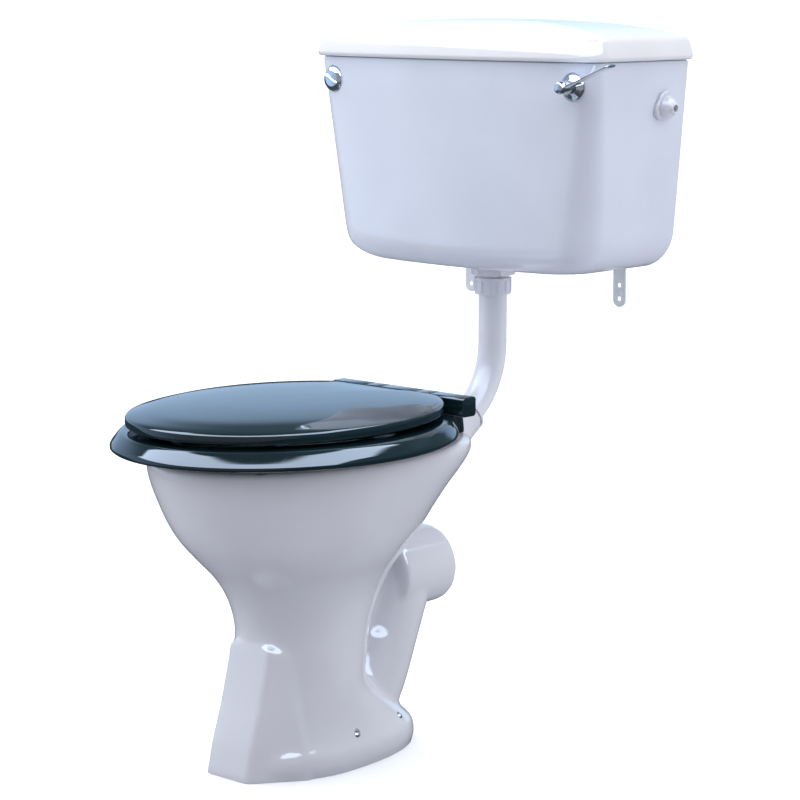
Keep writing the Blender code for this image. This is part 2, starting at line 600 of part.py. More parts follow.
def make_lever(materials):
    chrome, white = materials["chrome"], materials["white_plastic"]
    place = (FITTING_X, from_wall(SPOTFACE), FITTING_Z)
    turned("lever_escutcheon", ((0.0052, GAP), (0.0165, GAP), (0.0165, 0.0030), (0.0140, 0.0062),
                                (0.0090, 0.0078), (0.0052, 0.0080)), place, (0, -1, 0), chrome, 24, True)
    turned("lever_bush", ((0.0050, 0.0), (0.0050, -0.0235), (0.0072, -0.0235),
                          (0.0072, 0.0)), place, (0, -1, 0), white, 16, True)
    nut("lever_lock_nut", 0.0072 + FIT, 0.0190, -0.0200, -0.0136, place, (0, -1, 0), white)

    spindle = turned("lever_spindle", ((0.0034, -0.0945), (0.0047, -0.0930), (0.0047, 0.0195),
                                       (0.0034, 0.0205)), place, (0, -1, 0), materials["brass"], 12)
    hub = turned("lever_handle", ((0.0085, 0.0088), (0.0085, 0.0290), (0.0065, 0.0330),
                                  (0.0010, 0.0340)), place, (0, -1, 0), chrome, 20)
    rise = radians(LEVER_RISE)
    tip = (FITTING_X + 0.084 * cos(rise), FITTING_Z - 0.002 + 0.084 * sin(rise))
    blade = bar("blade", (FITTING_X, FITTING_Z - 0.001), tip, 0.0042, (0.2110, 0.2290), chrome)
    join(hub, blade)
    cut(hub, turned("socket", ((0.0050, 0.0), (0.0050, 0.0210)), place, (0, -1, 0), chrome, 12))

    start, end = arm_point(FITTING_X - 0.004), arm_point(FITTING_X - 0.134)
    depth = (PIPE_DEPTH - 0.0070, PIPE_DEPTH + 0.0070)
    arm = bar("lever_arm", start, end, 0.0030, depth, materials["brass"])
    collar = turned("collar", ((0.0090, -0.0070), (0.0090, 0.0070)),
                    (FITTING_X, from_wall(PIPE_DEPTH), FITTING_Z), (0, -1, 0), materials["brass"], 16)
    join(arm, collar)
    slot_start, slot_end = arm_point(LEVER_ROD_X + 0.0140), arm_point(LEVER_ROD_X - 0.0160)
    slot = bar("slot", slot_start, slot_end, 0.020, (PIPE_DEPTH - 0.0033, PIPE_DEPTH + 0.0033),
               materials["brass"])
    bore = turned("bore", ((0.0050, -0.02), (0.0050, 0.02)),
                  (FITTING_X, from_wall(PIPE_DEPTH), FITTING_Z), (0, -1, 0), materials["brass"], 12)
    cut(arm, slot, bore)
    axis_empty("lever_axis", place, spindle, hub, arm)


def make_blanking_cap(materials):
    place = (-FITTING_X, from_wall(SPOTFACE), FITTING_Z)
    cap = turned("blanking_cap", ((0.0070, -0.0230), (0.0070, GAP), (0.0165, GAP), (0.0165, 0.0030),
                                  (0.0150, 0.0055), (0.0105, 0.0072), (0.0040, 0.0080)), place,
                 (0, -1, 0), materials["chrome"], 24)
    ridge = bar("ridge", (-FITTING_X - 0.010, FITTING_Z + 0.006), (-FITTING_X + 0.010, FITTING_Z - 0.006),
                0.0022, (SPOTFACE + 0.004, SPOTFACE + 0.0105), materials["chrome"])
    join(cap, ridge)
    nut("blanking_cap_nut", 0.0070 + FIT, 0.0190, -0.0200, -0.0136, place, (0, -1, 0),
        materials["white_plastic"])


# ---------------------------------------------------------------- float valve
def make_float_valve(materials):
    brass, white = materials["brass"], materials["white_plastic"]
    centre = (0.0, from_wall(VALVE_DEPTH), SIDE_HOLE_Z)
    inner_face = -0.2185
    body = turned("valve_body", ((0.0102, VALVE_TAIL_X), (0.0102, inner_face), (0.0160, inner_face),
                                 (0.0160, inner_face + 0.004), (0.0118, inner_face + 0.006),
                                 (0.0118, -0.1500)), centre, (1, 0, 0), brass, 20)
    ears = prism("ears", ((VALVE_DEPTH - 0.0100, 0.797), (VALVE_DEPTH - 0.0100, 0.781),
                          (VALVE_DEPTH + 0.0100, 0.781), (VALVE_DEPTH + 0.0100, 0.797)),
                 -0.1620, -0.1430, brass)
    join(body, ears)
    throat = turned("throat", ((0.0040, VALVE_TAIL_X - 0.01), (0.0040, -0.2050), (0.0065, -0.2030),
                               (0.0065, -0.13)), centre, (1, 0, 0), brass, 16)
    clevis = box("clevis", (-0.1605, from_wall(VALVE_DEPTH + 0.0052), 0.776),
                 (-0.1300, from_wall(VALVE_DEPTH - 0.0052), 0.830), brass)
    pin_hole = turned("pin_hole", ((0.0019, -0.02), (0.0019, 0.02)),
                      (VALVE_PIN_X, from_wall(VALVE_DEPTH), VALVE_PIN_Z), (0, 1, 0), brass, 12)
    cut(body, throat, clevis, pin_hole)
    nut("valve_back_nut", 0.0102 + FIT, 0.0290, -0.2415, -0.2345, centre, (1, 0, 0), white)
    washer("valve_washer", 0.0102 + FIT, 0.0155, -0.2212, inner_face - GAP, centre, (1, 0, 0),
           materials["rubber"])
    piston = turned("valve_piston", ((0.0061, -0.1840), (0.0061, -0.1500), (0.0050, -0.1490)),
                    centre, (1, 0, 0), brass, 16)
    axis_empty("piston_slide", (-0.170, centre[1], centre[2]), piston)


def make_float(materials):
    brass = materials["brass"]
    pin_place = (VALVE_PIN_X, from_wall(VALVE_DEPTH), VALVE_PIN_Z)
    turned("float_pin", ((0.0017, -0.0105), (0.0017, 0.0105)), pin_place, (0, 1, 0), brass, 12)
    hub = turned("float_arm", ((0.0045, -0.0048), (0.0045, 0.0048)), pin_place, (0, 1, 0), brass, 14)
    finger = box("finger", (VALVE_PIN_X + 0.0002, pin_place[1] - 0.0040, VALVE_PIN_Z + 0.001),
                 (VALVE_PIN_X + 0.0042, pin_place[1] + 0.0040, SIDE_HOLE_Z + 0.0020), brass)
    ball = Vector((FLOAT_CENTRE[0], from_wall(FLOAT_CENTRE[1]), FLOAT_CENTRE[2]))
    line = (ball - Vector(pin_place)).normalized()
    start = Vector(pin_place) + line * 0.0040
    reach = (ball - start).length - FLOAT_RADIUS
    rod = turned("rod", ((0.0021, 0.0), (0.0021, reach - 0.001)), start, line, brass, 12)
    join(hub, rod, finger)
    cut(hub, turned("hub_bore", ((0.0019, -0.02), (0.0019, 0.02)), pin_place, (0, 1, 0), brass, 12))
    angles = [radians(-86 + 172 * i / 12) for i in range(13)]
    shell = [(FLOAT_RADIUS * cos(a), FLOAT_RADIUS * sin(a)) for a in angles]
    ball_piece = turned("float_ball", shell, ball, line, materials["orange_plastic"], 18)
    axis_empty("float_axis", pin_place, hub, ball_piece)


# ---------------------------------------------------------------- overflow
def make_overflow(materials):
    white = materials["white_plastic"]
    lean = CISTERN_SIDE_TAPER / (CISTERN_TOP - CISTERN_BOTTOM)
    axis = Vector((1, 0, -lean)).normalized()
    side_x = CISTERN_HALF_WIDTH - lean * (CISTERN_TOP - SIDE_HOLE_Z)
    face = Vector((side_x, from_wall(SIDE_HOLE_DEPTH), SIDE_HOLE_Z))
    low, high = GAP + 0.0001, 0.0055
    lean_turn = Vector((0, 0, 1)).rotation_difference(axis)
    rings = []
    for height, shrink in ((low, 0.0), (high - 0.0015, 0.0), (high, 0.0015)):
        ring = []
        for i in range(30):
            angle = 2 * pi * i / 30
            radius = 0.0185 + 0.0022 * cos(3 * angle + pi) - shrink
            ring.append(tuple(face + lean_turn @ Vector((radius * cos(angle), radius * sin(angle), height))))
        rings.append(ring)
    fitting = loft("overflow_connector", rings, white)
    nozzle = turned("nozzle", ((0.0148, 0.004), (0.0146, 0.0085), (0.0120, 0.0135), (0.0075, 0.0175),
                               (0.0062, 0.0205)), face, axis, white, 16)
    shank = turned("shank", ((0.0104, -0.030), (0.0104, 0.004)), face, axis, white, 16)
    join(fitting, nozzle, shank)
    cut(fitting, turned("way", ((0.0046, -0.04), (0.0046, 0.03)), face, axis, white, 16))
    nut("overflow_nut", 0.0104 + FIT, 0.0290, -0.0200, -0.0125, face, axis, white)
    washer("overflow_washer", 0.0104 + FIT, 0.0155, -0.0121, -0.0094, face, axis, materials["rubber"])


# ---------------------------------------------------------------- seat
def seat_outline(half_width, front, rear, cut_off, count=36):
    """An oval seat outline whose rear is cut off square at a distance from the wall."""
    middle = (front + rear) / 2
    ring = []
    for i in range(count):
        angle = 2 * pi * i / count
        distance = middle + (front - middle) * sin(angle)
        ring.append((half_width * cos(angle), max(distance, cut_off)))
    return ring


def ring_section(share, z, outer, inner):
    """Points a share of the way from the outer outline to the inner one."""
    return [(ox + (ix - ox) * share, from_wall(od + (idist - od) * share), z)
            for (ox, od), (ix, idist) in zip(outer, inner)]


def knuckle(name, low_x, high_x, material):
    """One square, round-edged link of the bar hinge."""
    half, bevel = HINGE_SIZE / 2, 0.004
    outline = []
    for centre_d, centre_z, start in ((half - bevel, half - bevel, 0), (bevel - half, half - bevel, 90),
                                      (bevel - half, bevel - half, 180), (half - bevel, bevel - half, 270)):
        outline += arc((HINGE_DEPTH + centre_d, HINGE_Z + centre_z), bevel, start, start + 90, 3)
    return prism(name, outline, low_x, high_x, material)


def hinge_bore(radius, half_length, material):
    return turned("hinge_bore", ((radius, -half_length), (radius, half_length)),
                  on_centre(HINGE_DEPTH, HINGE_Z), (1, 0, 0), material, 16)


def make_seat(materials):
    black = materials["black_gloss"]
    outer = seat_outline(0.195, 0.7265, 0.2655, SEAT_BACK)
    inner = seat_outline(0.110, 0.6350, 0.3350, 0.0)
    section = ((0.04, 0.4045), (0.0, 0.4075), (0.0, 0.4105), (0.02, 0.4140), (0.125, 0.4262),
               (0.20, 0.4279), (0.50, 0.4285), (0.82, 0.4268), (0.97, 0.4205), (1.0, 0.4130), (0.96, 0.4050))
    ring = loft("seat_ring", [ring_section(share, z, outer, inner) for share, z in section], black,
                closed=True)
    for side in (-1, 1):
        low, high = sorted((side * (COVER_KNUCKLE + GAP), side * RING_KNUCKLE))
        link = knuckle("link", low, high, black)
        arm = box("arm", (low + 0.001, from_wall(0.3135), 0.4128),
                  (high - 0.001, from_wall(HINGE_DEPTH), 0.4243), black)
        join(ring, link, arm)
    cut(ring, hinge_bore(HINGE_ROD + 0.0003, 0.08, black))

    plan = seat_outline(0.173, 0.710, 0.280, SEAT_BACK)
    middle = 0.495
    levels = ((0.90, 0.4340), (0.975, 0.4340), (1.0, 0.4375), (1.0, 0.4410), (0.985, 0.4450),
              (0.94, 0.4488), (0.80, 0.4545), (0.55, 0.4592), (0.28, 0.4614), (0.04, 0.4620))
    rings = [[(x * share, from_wall(max(middle + (d - middle) * share, SEAT_BACK)), z)
              for x, d in plan] for share, z in levels]
    cover = loft("seat_cover", rings, black)
    link = knuckle("link", -COVER_KNUCKLE, COVER_KNUCKLE, black)
    reach = COVER_KNUCKLE - 0.001
    arm = box("arm", (-reach, from_wall(0.330), 0.4347), (reach, from_wall(HINGE_DEPTH), 0.4432), black)
    join(cover, link, arm)
    cut(cover, hinge_bore(HINGE_ROD + 0.0003, 0.08, black))
    hinge = on_centre(HINGE_DEPTH, HINGE_Z)

    ring_pads = []
    for label, x, distance in (("front_left", -0.100, 0.640), ("front_right", 0.100, 0.640),
                               ("rear_left", -0.130, 0.400), ("rear_right", 0.130, 0.400)):
        ring_pads.append(turned(f"ring_buffer_{label}", ((0.008, RIM_TOP + GAP), (0.009, 0.4035),
                                                         (0.009, 0.4042)),
                                (x, from_wall(distance), 0.0), (0, 0, 1), materials["rubber"], 12))
    cover_pads = []
    for label, x in (("left", -0.090), ("right", 0.090)):
        cover_pads.append(turned(f"cover_buffer_{label}", ((0.0065, 0.4290), (0.0075, 0.4325),
                                                           (0.0075, 0.4337)),
                                 (x, from_wall(0.620), 0.0), (0, 0, 1), materials["rubber"], 12))
    axis_empty("ring_axis", hinge, ring, *ring_pads)
    axis_empty("cover_axis", hinge, cover, *cover_pads)


def make_hinge(materials):
    black = materials["black_gloss"]
    turned("hinge_rod", ((HINGE_ROD, -0.108), (HINGE_ROD, 0.108)), on_centre(HINGE_DEPTH, HINGE_Z),
           (1, 0, 0), materials["steel"], 12)
    for side, label in ((-1, "left"), (1, "right")):
        low, high = sorted((side * (RING_KNUCKLE + GAP), side * HINGE_HALF_LENGTH))
        block = knuckle(f"hinge_block_{label}", low, high, black)
        x, y = side * BOLT_X, from_wall(BOLT_DEPTH)
        foot = turned("foot", ((0.0125, RIM_TOP + GAP), (0.0125, RIM_TOP + 0.0060),
                               (0.0100, HINGE_Z - 0.006)), (x, y, 0.0), (0, 0, 1), black, 16)
        join(block, foot)
        rod_way = turned("rod_way", ((HINGE_ROD + GAP, -0.1085 * side), (HINGE_ROD + GAP, 0.0)),
                         on_centre(HINGE_DEPTH, HINGE_Z), (-1, 0, 0), black, 12)
        cut(block, rod_way)
        cut(block, turned("bolt_way", ((0.0034, RIM_TOP - 0.01), (0.0034, HINGE_Z - 0.0070)),
                          (x, y, 0.0), (0, 0, 1), black, 12))
        turned(f"hinge_bolt_{label}", ((0.0010, BOLT_END), (0.0030, BOLT_END + 0.002),
                                       (0.0030, HINGE_Z - 0.0080)),
               (x, y, 0.0), (0, 0, 1), materials["steel"], 12)
        washer(f"hinge_washer_{label}", 0.0037, 0.0110, DECK_UNDER - 0.0028, DECK_UNDER - GAP,
               (x, y, 0.0), (0, 0, 1), materials["rubber"])
        nut(f"hinge_nut_{label}", 0.0037, 0.0150, DECK_UNDER - 0.0100, DECK_UNDER - 0.0031,
            (x, y, 0.0), (0, 0, 1), materials["white_plastic"])


PARTS = (make_pan, make_floor_screws, make_flush_pipe, make_cistern, make_lid, make_brackets,
         make_siphon, make_plunger, make_lever, make_blanking_cap, make_float_valve, make_float,
         make_overflow, make_seat, make_hinge)


def main():
    clear_scene()
    materials = make_materials()
    for make_part in PARTS:
        make_part(materials)


main()
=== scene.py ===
"""The fine surface of a low-level toilet suite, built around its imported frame.

Every piece is made in metres, in the frame's own axes: +Z up, the pan's front towards -Y and the
wall at +Y. Depths are written as distances in front of the wall, as a plumber would measure them.
"""
import json
from math import cos, pi, radians, sin, sqrt

import bmesh
import bpy
from mathutils import Matrix, Vector


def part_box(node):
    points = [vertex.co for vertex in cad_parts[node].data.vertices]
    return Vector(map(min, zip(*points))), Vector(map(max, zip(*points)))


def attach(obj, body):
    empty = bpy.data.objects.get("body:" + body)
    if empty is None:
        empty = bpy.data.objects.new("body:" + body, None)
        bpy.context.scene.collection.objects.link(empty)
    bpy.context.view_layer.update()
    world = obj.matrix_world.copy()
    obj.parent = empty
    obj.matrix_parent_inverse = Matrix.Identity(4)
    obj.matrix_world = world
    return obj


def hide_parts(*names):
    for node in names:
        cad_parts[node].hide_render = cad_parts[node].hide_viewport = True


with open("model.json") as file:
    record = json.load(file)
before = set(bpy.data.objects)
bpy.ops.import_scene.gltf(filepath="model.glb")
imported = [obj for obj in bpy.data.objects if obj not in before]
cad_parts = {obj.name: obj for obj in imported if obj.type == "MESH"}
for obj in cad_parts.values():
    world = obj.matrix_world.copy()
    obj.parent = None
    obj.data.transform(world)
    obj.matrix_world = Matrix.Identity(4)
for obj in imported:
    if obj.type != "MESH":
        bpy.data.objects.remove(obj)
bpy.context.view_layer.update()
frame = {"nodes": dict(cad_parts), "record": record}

bl_info = {
    "name": "Low-level toilet suite",
    "version": (1, 0, 0),
    "blender": (4, 5, 0),
    "location": "3D View > Sidebar > Suite",
    "description": "Builds the glazed pan, cistern, flush pipe, fittings and seat of a toilet suite",
    "category": "Object",
}

WALL_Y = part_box("wall_bracket_left")[1].y
EDGE = 0.0006                    # softened edge of a moulded or turned piece
SMOOTH_ANGLE = radians(38)
UP, FORWARD = (0, 0, 1), (0, -1, 0)
SIDES = ((-1, "left"), (1, "right"))

# ---------------------------------------------------------------- sizes shared by several pieces
RIM_TOP = 0.396
CISTERN_TOP, CISTERN_BOTTOM = 0.862, 0.592


# ---------------------------------------------------------------- shader expressions
class Wire:
    """One output of a shader node, which can stand in a Python sum."""

    def __init__(self, finish, socket):
        self.finish = finish
        self.socket = socket

    def _sum(self, operation, first, second):
        return self.finish.node("ShaderNodeMath", {"operation": operation}, first, second)

    def __add__(self, other):
        return self._sum("ADD", self, other)

    def __radd__(self, other):
        return self._sum("ADD", other, self)

    def __sub__(self, other):
        return self._sum("SUBTRACT", self, other)

    def __rsub__(self, other):
        return self._sum("SUBTRACT", other, self)

    def __mul__(self, other):
        return self._sum("MULTIPLY", self, other)

    def __rmul__(self, other):
        return self._sum("MULTIPLY", other, self)


class Finish:
    """A Principled material whose varying inputs are written as sums of wires."""

    def __init__(self, name, **constants):
        self.material = bpy.data.materials.new(name)
        self.material.use_nodes = True
        self.tree = self.material.node_tree
        self.shader = self.tree.nodes["Principled BSDF"]
        for label, value in constants.items():
            title = label.replace("_", " ").title().replace("Ior", "IOR")
            self.shader.inputs[title].default_value = value
        self.place = self.node("ShaderNodeTexCoord", {}, output="Object")

    def node(self, kind, settings, *values, output=0, **named):
        made = self.tree.nodes.new(kind)
        for label, value in settings.items():
            setattr(made, label, value)
        for key, value in [*enumerate(values), *named.items()]:
            socket = made.inputs[key]
            if isinstance(value, Wire):
                self.tree.links.new(value.socket, socket)
            else:
                socket.default_value = value
        return Wire(self, made.outputs[output])

    def stretched(self, scale):
        return self.node("ShaderNodeMapping", {}, Vector=self.place, Scale=scale)

    def noise(self, scale, detail=2.0, where=None):
        return self.node("ShaderNodeTexNoise", {}, Vector=where or self.place, Scale=scale,
                         Detail=detail)

    def ramp(self, factor, low, high):
        """0 below low, 1 above high, smooth between them."""
        return self.node("ShaderNodeMapRange", {"interpolation_type": "SMOOTHSTEP"}, Value=factor,
                         **{"From Min": low, "From Max": high})

    def blend(self, factor, first, second):
        """A colour between two colours; each is a wire or an (r, g, b)."""
        made = self.tree.nodes.new("ShaderNodeMix")
        made.data_type = "RGBA"
        for key, value in ((0, factor), (6, first), (7, second)):
            if isinstance(value, Wire):
                self.tree.links.new(value.socket, made.inputs[key])
            else:
                made.inputs[key].default_value = value if key == 0 else (*value, 1.0)
        return Wire(self, made.outputs[2])

    def feed(self, label, wire):
        self.tree.links.new(wire.socket, self.shader.inputs[label])

    def relief(self, height, distance, strength=1.0):
        """A bump of that height in metres on the surface."""
        self.feed("Normal", self.node("ShaderNodeBump", {}, Height=height, Distance=distance,
                                      Strength=strength, output="Normal"))


# ---------------------------------------------------------------- finishes
def dimmed(colour, share):
    return tuple(part * share for part in colour)


def china(name, colour):
    """Glazed vitreous china: deep gloss, faint clouding, rare pinholes, a slow ripple."""
    colour, shade = tuple(colour), dimmed(colour, 0.94)
    finish = Finish(name, roughness=0.06, coat_weight=0.35, coat_roughness=0.03)
    cloud = finish.noise(7.0, 3.0)
    pinholes = finish.ramp(finish.noise(700.0, 0.0), 0.82, 0.86)
    glaze = finish.blend(finish.ramp(cloud, 0.30, 0.75), colour, shade)
    finish.feed("Base Color", finish.blend(pinholes * 0.4, glaze, dimmed(shade, 0.55)))
    finish.feed("Roughness", 0.05 + 0.05 * finish.noise(38.0) + 0.2 * pinholes)
    finish.relief(finish.noise(16.0, 1.0) + 0.12 * finish.noise(90.0, 1.0), 0.0005, 0.5)
    return finish.material


def moulded(name, colour, roughness, grain, depth):
    """Injection moulded plastic: an even colour that is a little cloudy, and a fine spark grain."""
    finish = Finish(name, specular_ior_level=0.5)
    cloud = finish.ramp(finish.noise(18.0, 3.0), 0.25, 0.8)
    finish.feed("Base Color", finish.blend(cloud, tuple(colour), dimmed(colour, 0.90)))
    finish.feed("Roughness", roughness + 0.10 * finish.noise(60.0) - 0.05)
    finish.relief(finish.noise(grain, 2.0), depth, 0.6)
    return finish.material


def lacquered_black(name, colour):
    """The seat's blue-black gloss: flow lines of the moulding, hairline rubs and a few dust nibs."""
    finish = Finish(name, specular_ior_level=0.62, coat_weight=0.25, coat_roughness=0.04)
    flow = finish.ramp(finish.noise(5.0, 4.0), 0.3, 0.8)
    finish.feed("Base Color", finish.blend(flow, dimmed(colour, 0.8), dimmed(colour, 1.5)))
    rubs = finish.noise(30.0, 5.0, finish.stretched((14.0, 1.0, 1.0)))
    finish.feed("Roughness", 0.055 + 0.07 * finish.ramp(rubs, 0.52, 0.80) + 0.03 * flow)
    nibs = finish.ramp(finish.noise(420.0, 0.0), 0.80, 0.85)
    finish.relief(finish.noise(9.0, 1.0) + 0.05 * nibs, 0.0006, 0.35)
    return finish.material


def plated(name, colour, haze):
    """Bright plating over a cast or turned piece: faint haze and polishing lines."""
    finish = Finish(name, metallic=1.0)
    tone = finish.ramp(finish.noise(22.0, 3.0), 0.3, 0.8)
    finish.feed("Base Color", finish.blend(tone, colour, dimmed(colour, 0.86)))
    lines = finish.noise(160.0, 3.0, finish.stretched((1.0, 1.0, 9.0)))
    finish.feed("Roughness", haze + 0.07 * lines)
    finish.relief(lines, 0.00003, 0.5)
    return finish.material


def tarnished(name, colour, dark, roughness):
    """Bare brass or steel that has stood in damp air: turning marks and darker spots."""
    finish = Finish(name, metallic=1.0)
    spots = finish.ramp(finish.noise(55.0, 5.0), 0.52, 0.72)
    finish.feed("Base Color", finish.blend(spots, colour, dark))
    marks = finish.noise(240.0, 2.0, finish.stretched((1.0, 1.0, 5.0)))
    finish.feed("Roughness", roughness + 0.20 * spots + 0.12 * marks)
    finish.relief(marks + spots * 0.4, 0.00008, 0.6)
    return finish.material


def moulded_rubber(name, colour):
    """Dull rubber: bloom on the skin and a pebbled grain."""
    finish = Finish(name, specular_ior_level=0.3)
    bloom = finish.ramp(finish.noise(40.0, 4.0), 0.40, 0.75)
    dusty = tuple(part * 1.9 + 0.01 for part in colour)
    finish.feed("Base Color", finish.blend(bloom, colour, dusty))
    finish.feed("Roughness", 0.62 + 0.25 * finish.noise(75.0))
    finish.relief(finish.noise(900.0, 2.0), 0.00012, 0.7)
    return finish.material


def stove_enamel(name, colour, chip):
    """Painted steel: orange peel in the paint and a few bare chips."""
    finish = Finish(name)
    chips = finish.ramp(finish.noise(130.0, 3.0), 0.70, 0.74)
    finish.feed("Base Color", finish.blend(chips, colour, chip))
    finish.feed("Metallic", chips * 1.0)
    finish.feed("Roughness", 0.22 + 0.25 * chips + 0.08 * finish.noise(90.0))
    finish.relief(finish.noise(420.0, 1.0) - chips, 0.00006, 0.8)
    return finish.material


# Slot: its maker, then the maker's values; a name stands for that colour of the settings.
SLOT_FINISHES = {
    # Painted shade and light: the pan's glaze is set darker than the cistern's for the shade near the
    # floor and under the seat, and the lid's lighter for the light on its top; all three are the same
    # china.
    "pan_glaze": (china, "pan"),
    "cistern_glaze": (china, "cistern"),
    "lid_glaze": (china, "lid"),
    "pipe_plastic": (moulded, "pipe", 0.24, 300.0, 0.00005),
    "inner_plastic": (moulded, (0.780, 0.785, 0.790), 0.36, 380.0, 0.00008),
    "seat_plastic": (lacquered_black, "seat"),
    "chrome": (plated, (0.800, 0.815, 0.835), 0.035),
    "brass": (tarnished, (0.700, 0.500, 0.220), (0.330, 0.230, 0.110), 0.24),
    "float_plastic": (moulded, "float_ball", 0.36, 260.0, 0.00008),
    "steel": (tarnished, (0.560, 0.570, 0.590), (0.300, 0.280, 0.260), 0.22),
    "bracket_metal": (stove_enamel, (0.690, 0.710, 0.740), (0.420, 0.420, 0.430)),
    "rubber": (moulded_rubber, (0.022, 0.023, 0.025)),
}
FINISHES = {}


def finish_of(slot):
    if slot not in FINISHES:
        maker, colour, *values = SLOT_FINISHES[slot]
        if isinstance(colour, str):
            colour = getattr(bpy.context.scene.suite_finish, colour)
        FINISHES[slot] = maker(slot, colour, *values)
    return FINISHES[slot]


SLOT_OF_NODE = {part["node"]: part["material_slot"] for part in frame["record"]["subparts"]}
BODY_OF_NODE = {node: body for body, nodes in frame["record"]["behaviour"]["bodies"].items()
                for node in nodes}


# ---------------------------------------------------------------- making meshes
def from_wall(distance):
    return WALL_Y - distance


def on_centre(distance, z):
    return Vector((0.0, from_wall(distance), z))


def leaning(axis):
    """The turn that lays +Z along an axis."""
    return Vector(UP).rotation_difference(Vector(axis))


def arc(centre, radius, start, end, count):
    """Points on an arc, both ends included; angles in degrees."""
    steps = [radians(start + (end - start) * i / (count - 1)) for i in range(count)]
    return [(centre[0] + radius * cos(a), centre[1] + radius * sin(a)) for a in steps]


def through(rows, count):
    """A smooth run of rows of numbers that passes through the given rows."""
    spread = []
    last = len(rows) - 1
    for step in range(count):
        at = last * step / (count - 1)
        i = min(int(at), last - 1)
        t = at - i
        before, start, end = rows[max(i - 1, 0)], rows[i], rows[i + 1]
        after = rows[min(i + 2, last)]
        spread.append(tuple(
            0.5 * (2 * b + (c - a) * t + (2 * a - 5 * b + 4 * c - d) * t ** 2
                   + (3 * b - a - 3 * c + d) * t ** 3)
            for a, b, c, d in zip(before, start, end, after)))
    return spread


def soften(profile, radius=EDGE, steps=3, closed=False):
    """Round the corners of a profile by a small radius."""
    count = len(profile)
    rounded = []
    for i, corner in enumerate(profile):
        if not closed and i in (0, count - 1):
            rounded.append(tuple(corner))
            continue
        corner = Vector(corner)
        back, ahead = Vector(profile[i - 1]) - corner, Vector(profile[(i + 1) % count]) - corner
        reach = min(radius, back.length * 0.45, ahead.length * 0.45)
        start, end = corner + back.normalized() * reach, corner + ahead.normalized() * reach
        for step in range(steps + 1):
            t = step / steps
            rounded.append(tuple(start * (1 - t) ** 2 + corner * 2 * t * (1 - t) + end * t ** 2))
    return rounded


def mesh_object(name, verts, faces):
    mesh = bpy.data.meshes.new(name)
    mesh.from_pydata([tuple(point) for point in verts], [], faces)
    piece = bpy.data.objects.new(name, mesh)
    bpy.context.collection.objects.link(piece)
    return piece


def tidy(piece, angle=SMOOTH_ANGLE, weld=0.00001):
    """Merge doubles, face outwards and shade smooth with sharp edges."""
    work = bmesh.new()
    work.from_mesh(piece.data)
    bmesh.ops.remove_doubles(work, verts=work.verts, dist=weld)
    bmesh.ops.recalc_face_normals(work, faces=work.faces)
    work.to_mesh(piece.data)
    work.free()
    piece.data.shade_smooth()
    piece.data.set_sharp_from_angle(angle=angle)
    return piece


def loft(name, rings, closed=False):
    """Skin equal rings in order; the ends are capped, or joined when closed is set."""
    count = len(rings[0])
    verts = [point for ring in rings for point in ring]
    faces = []
    for level in range(len(rings) if closed else len(rings) - 1):
        low, high = level * count, (level + 1) % len(rings) * count
        for i in range(count):
            j = (i + 1) % count
            faces.append((low + i, low + j, high + j, high + i))
    if not closed:
        faces.append(tuple(range(count)))
        faces.append(tuple(range(len(verts) - count, len(verts))))
    return tidy(mesh_object(name, verts, faces))


def turned(name, profile, centre, axis, sides=64, bored=False, edge=EDGE):
    """Revolve a softened (radius, height) profile about an axis through centre."""
    lean = leaning(axis)
    rings = []
    for radius, height in soften(profile, edge, closed=bored):
        rings.append([Vector(centre) + lean @ Vector((radius * cos(2 * pi * i / sides),
                                                      radius * sin(2 * pi * i / sides), height))
                      for i in range(sides)])
    return loft(name, rings, closed=bored)


def swept(name, path, across, along, normal=(1, 0, 0), sides=48, bore=None):
    """Sweep an oval along a flat path whose plane has that normal; bore makes it a pipe."""
    points = [Vector(point) for point in path]
    normal = Vector(normal)
    outer, inner = [], []
    for i, point in enumerate(points):
        ahead, behind = points[min(i + 1, len(points) - 1)], points[max(i - 1, 0)]
        side = (ahead - behind).normalized().cross(normal)
        angles = [2 * pi * k / sides for k in range(sides)]
        outer.append([point + normal * across * cos(a) + side * along * sin(a) for a in angles])
        if bore:
            inner.append([point + (normal * cos(a) + side * sin(a)) * bore for a in angles])
    if bore:
        return loft(name, outer + inner[::-1], closed=True)
    return loft(name, outer)


def prism(name, outline, low_x, high_x):
    """Extrude an outline of (distance from the wall, z) along X."""
    return loft(name, [[(x, from_wall(d), z) for d, z in outline] for x in (low_x, high_x)])


def plate(name, outline, near, far):
    """Extrude an outline of (x, z) between two distances from the wall."""
    return loft(name, [[(x, from_wall(d), z) for x, z in outline] for d in (near, far)])


def block(name, low, high):
    (west, south, bottom), (east, north, top) = low, high
    return loft(name, [[(west, south, z), (east, south, z), (east, north, z), (west, north, z)]
                       for z in (bottom, top)])


def settle(piece):
    """Apply a piece's modifiers."""
    bpy.context.view_layer.update()
    graph = bpy.context.evaluated_depsgraph_get()
    mesh = bpy.data.meshes.new_from_object(piece.evaluated_get(graph))
    piece.modifiers.clear()
    piece.data = mesh
    return piece


def combine(piece, other, operation, solver="EXACT"):
    modifier = piece.modifiers.new("combine", "BOOLEAN")
    modifier.operation = operation
    modifier.solver = solver
    modifier.object = other
    settle(piece)
    bpy.data.objects.remove(other, do_unlink=True)
    return tidy(piece)


def join(piece, *others, solver="MANIFOLD"):
    for other in others:
        combine(piece, other, "UNION", solver)
    return piece


def cut(piece, *cutters, solver="EXACT"):
    for cutter in cutters:
        combine(piece, cutter, "DIFFERENCE", solver)
    return piece


def bevelled(piece, width, segments=3, angle=radians(30)):
    modifier = piece.modifiers.new("edges", "BEVEL")
    modifier.width = width
    modifier.segments = segments
    modifier.limit_method = "ANGLE"
    modifier.angle_limit = angle
    return tidy(settle(piece))


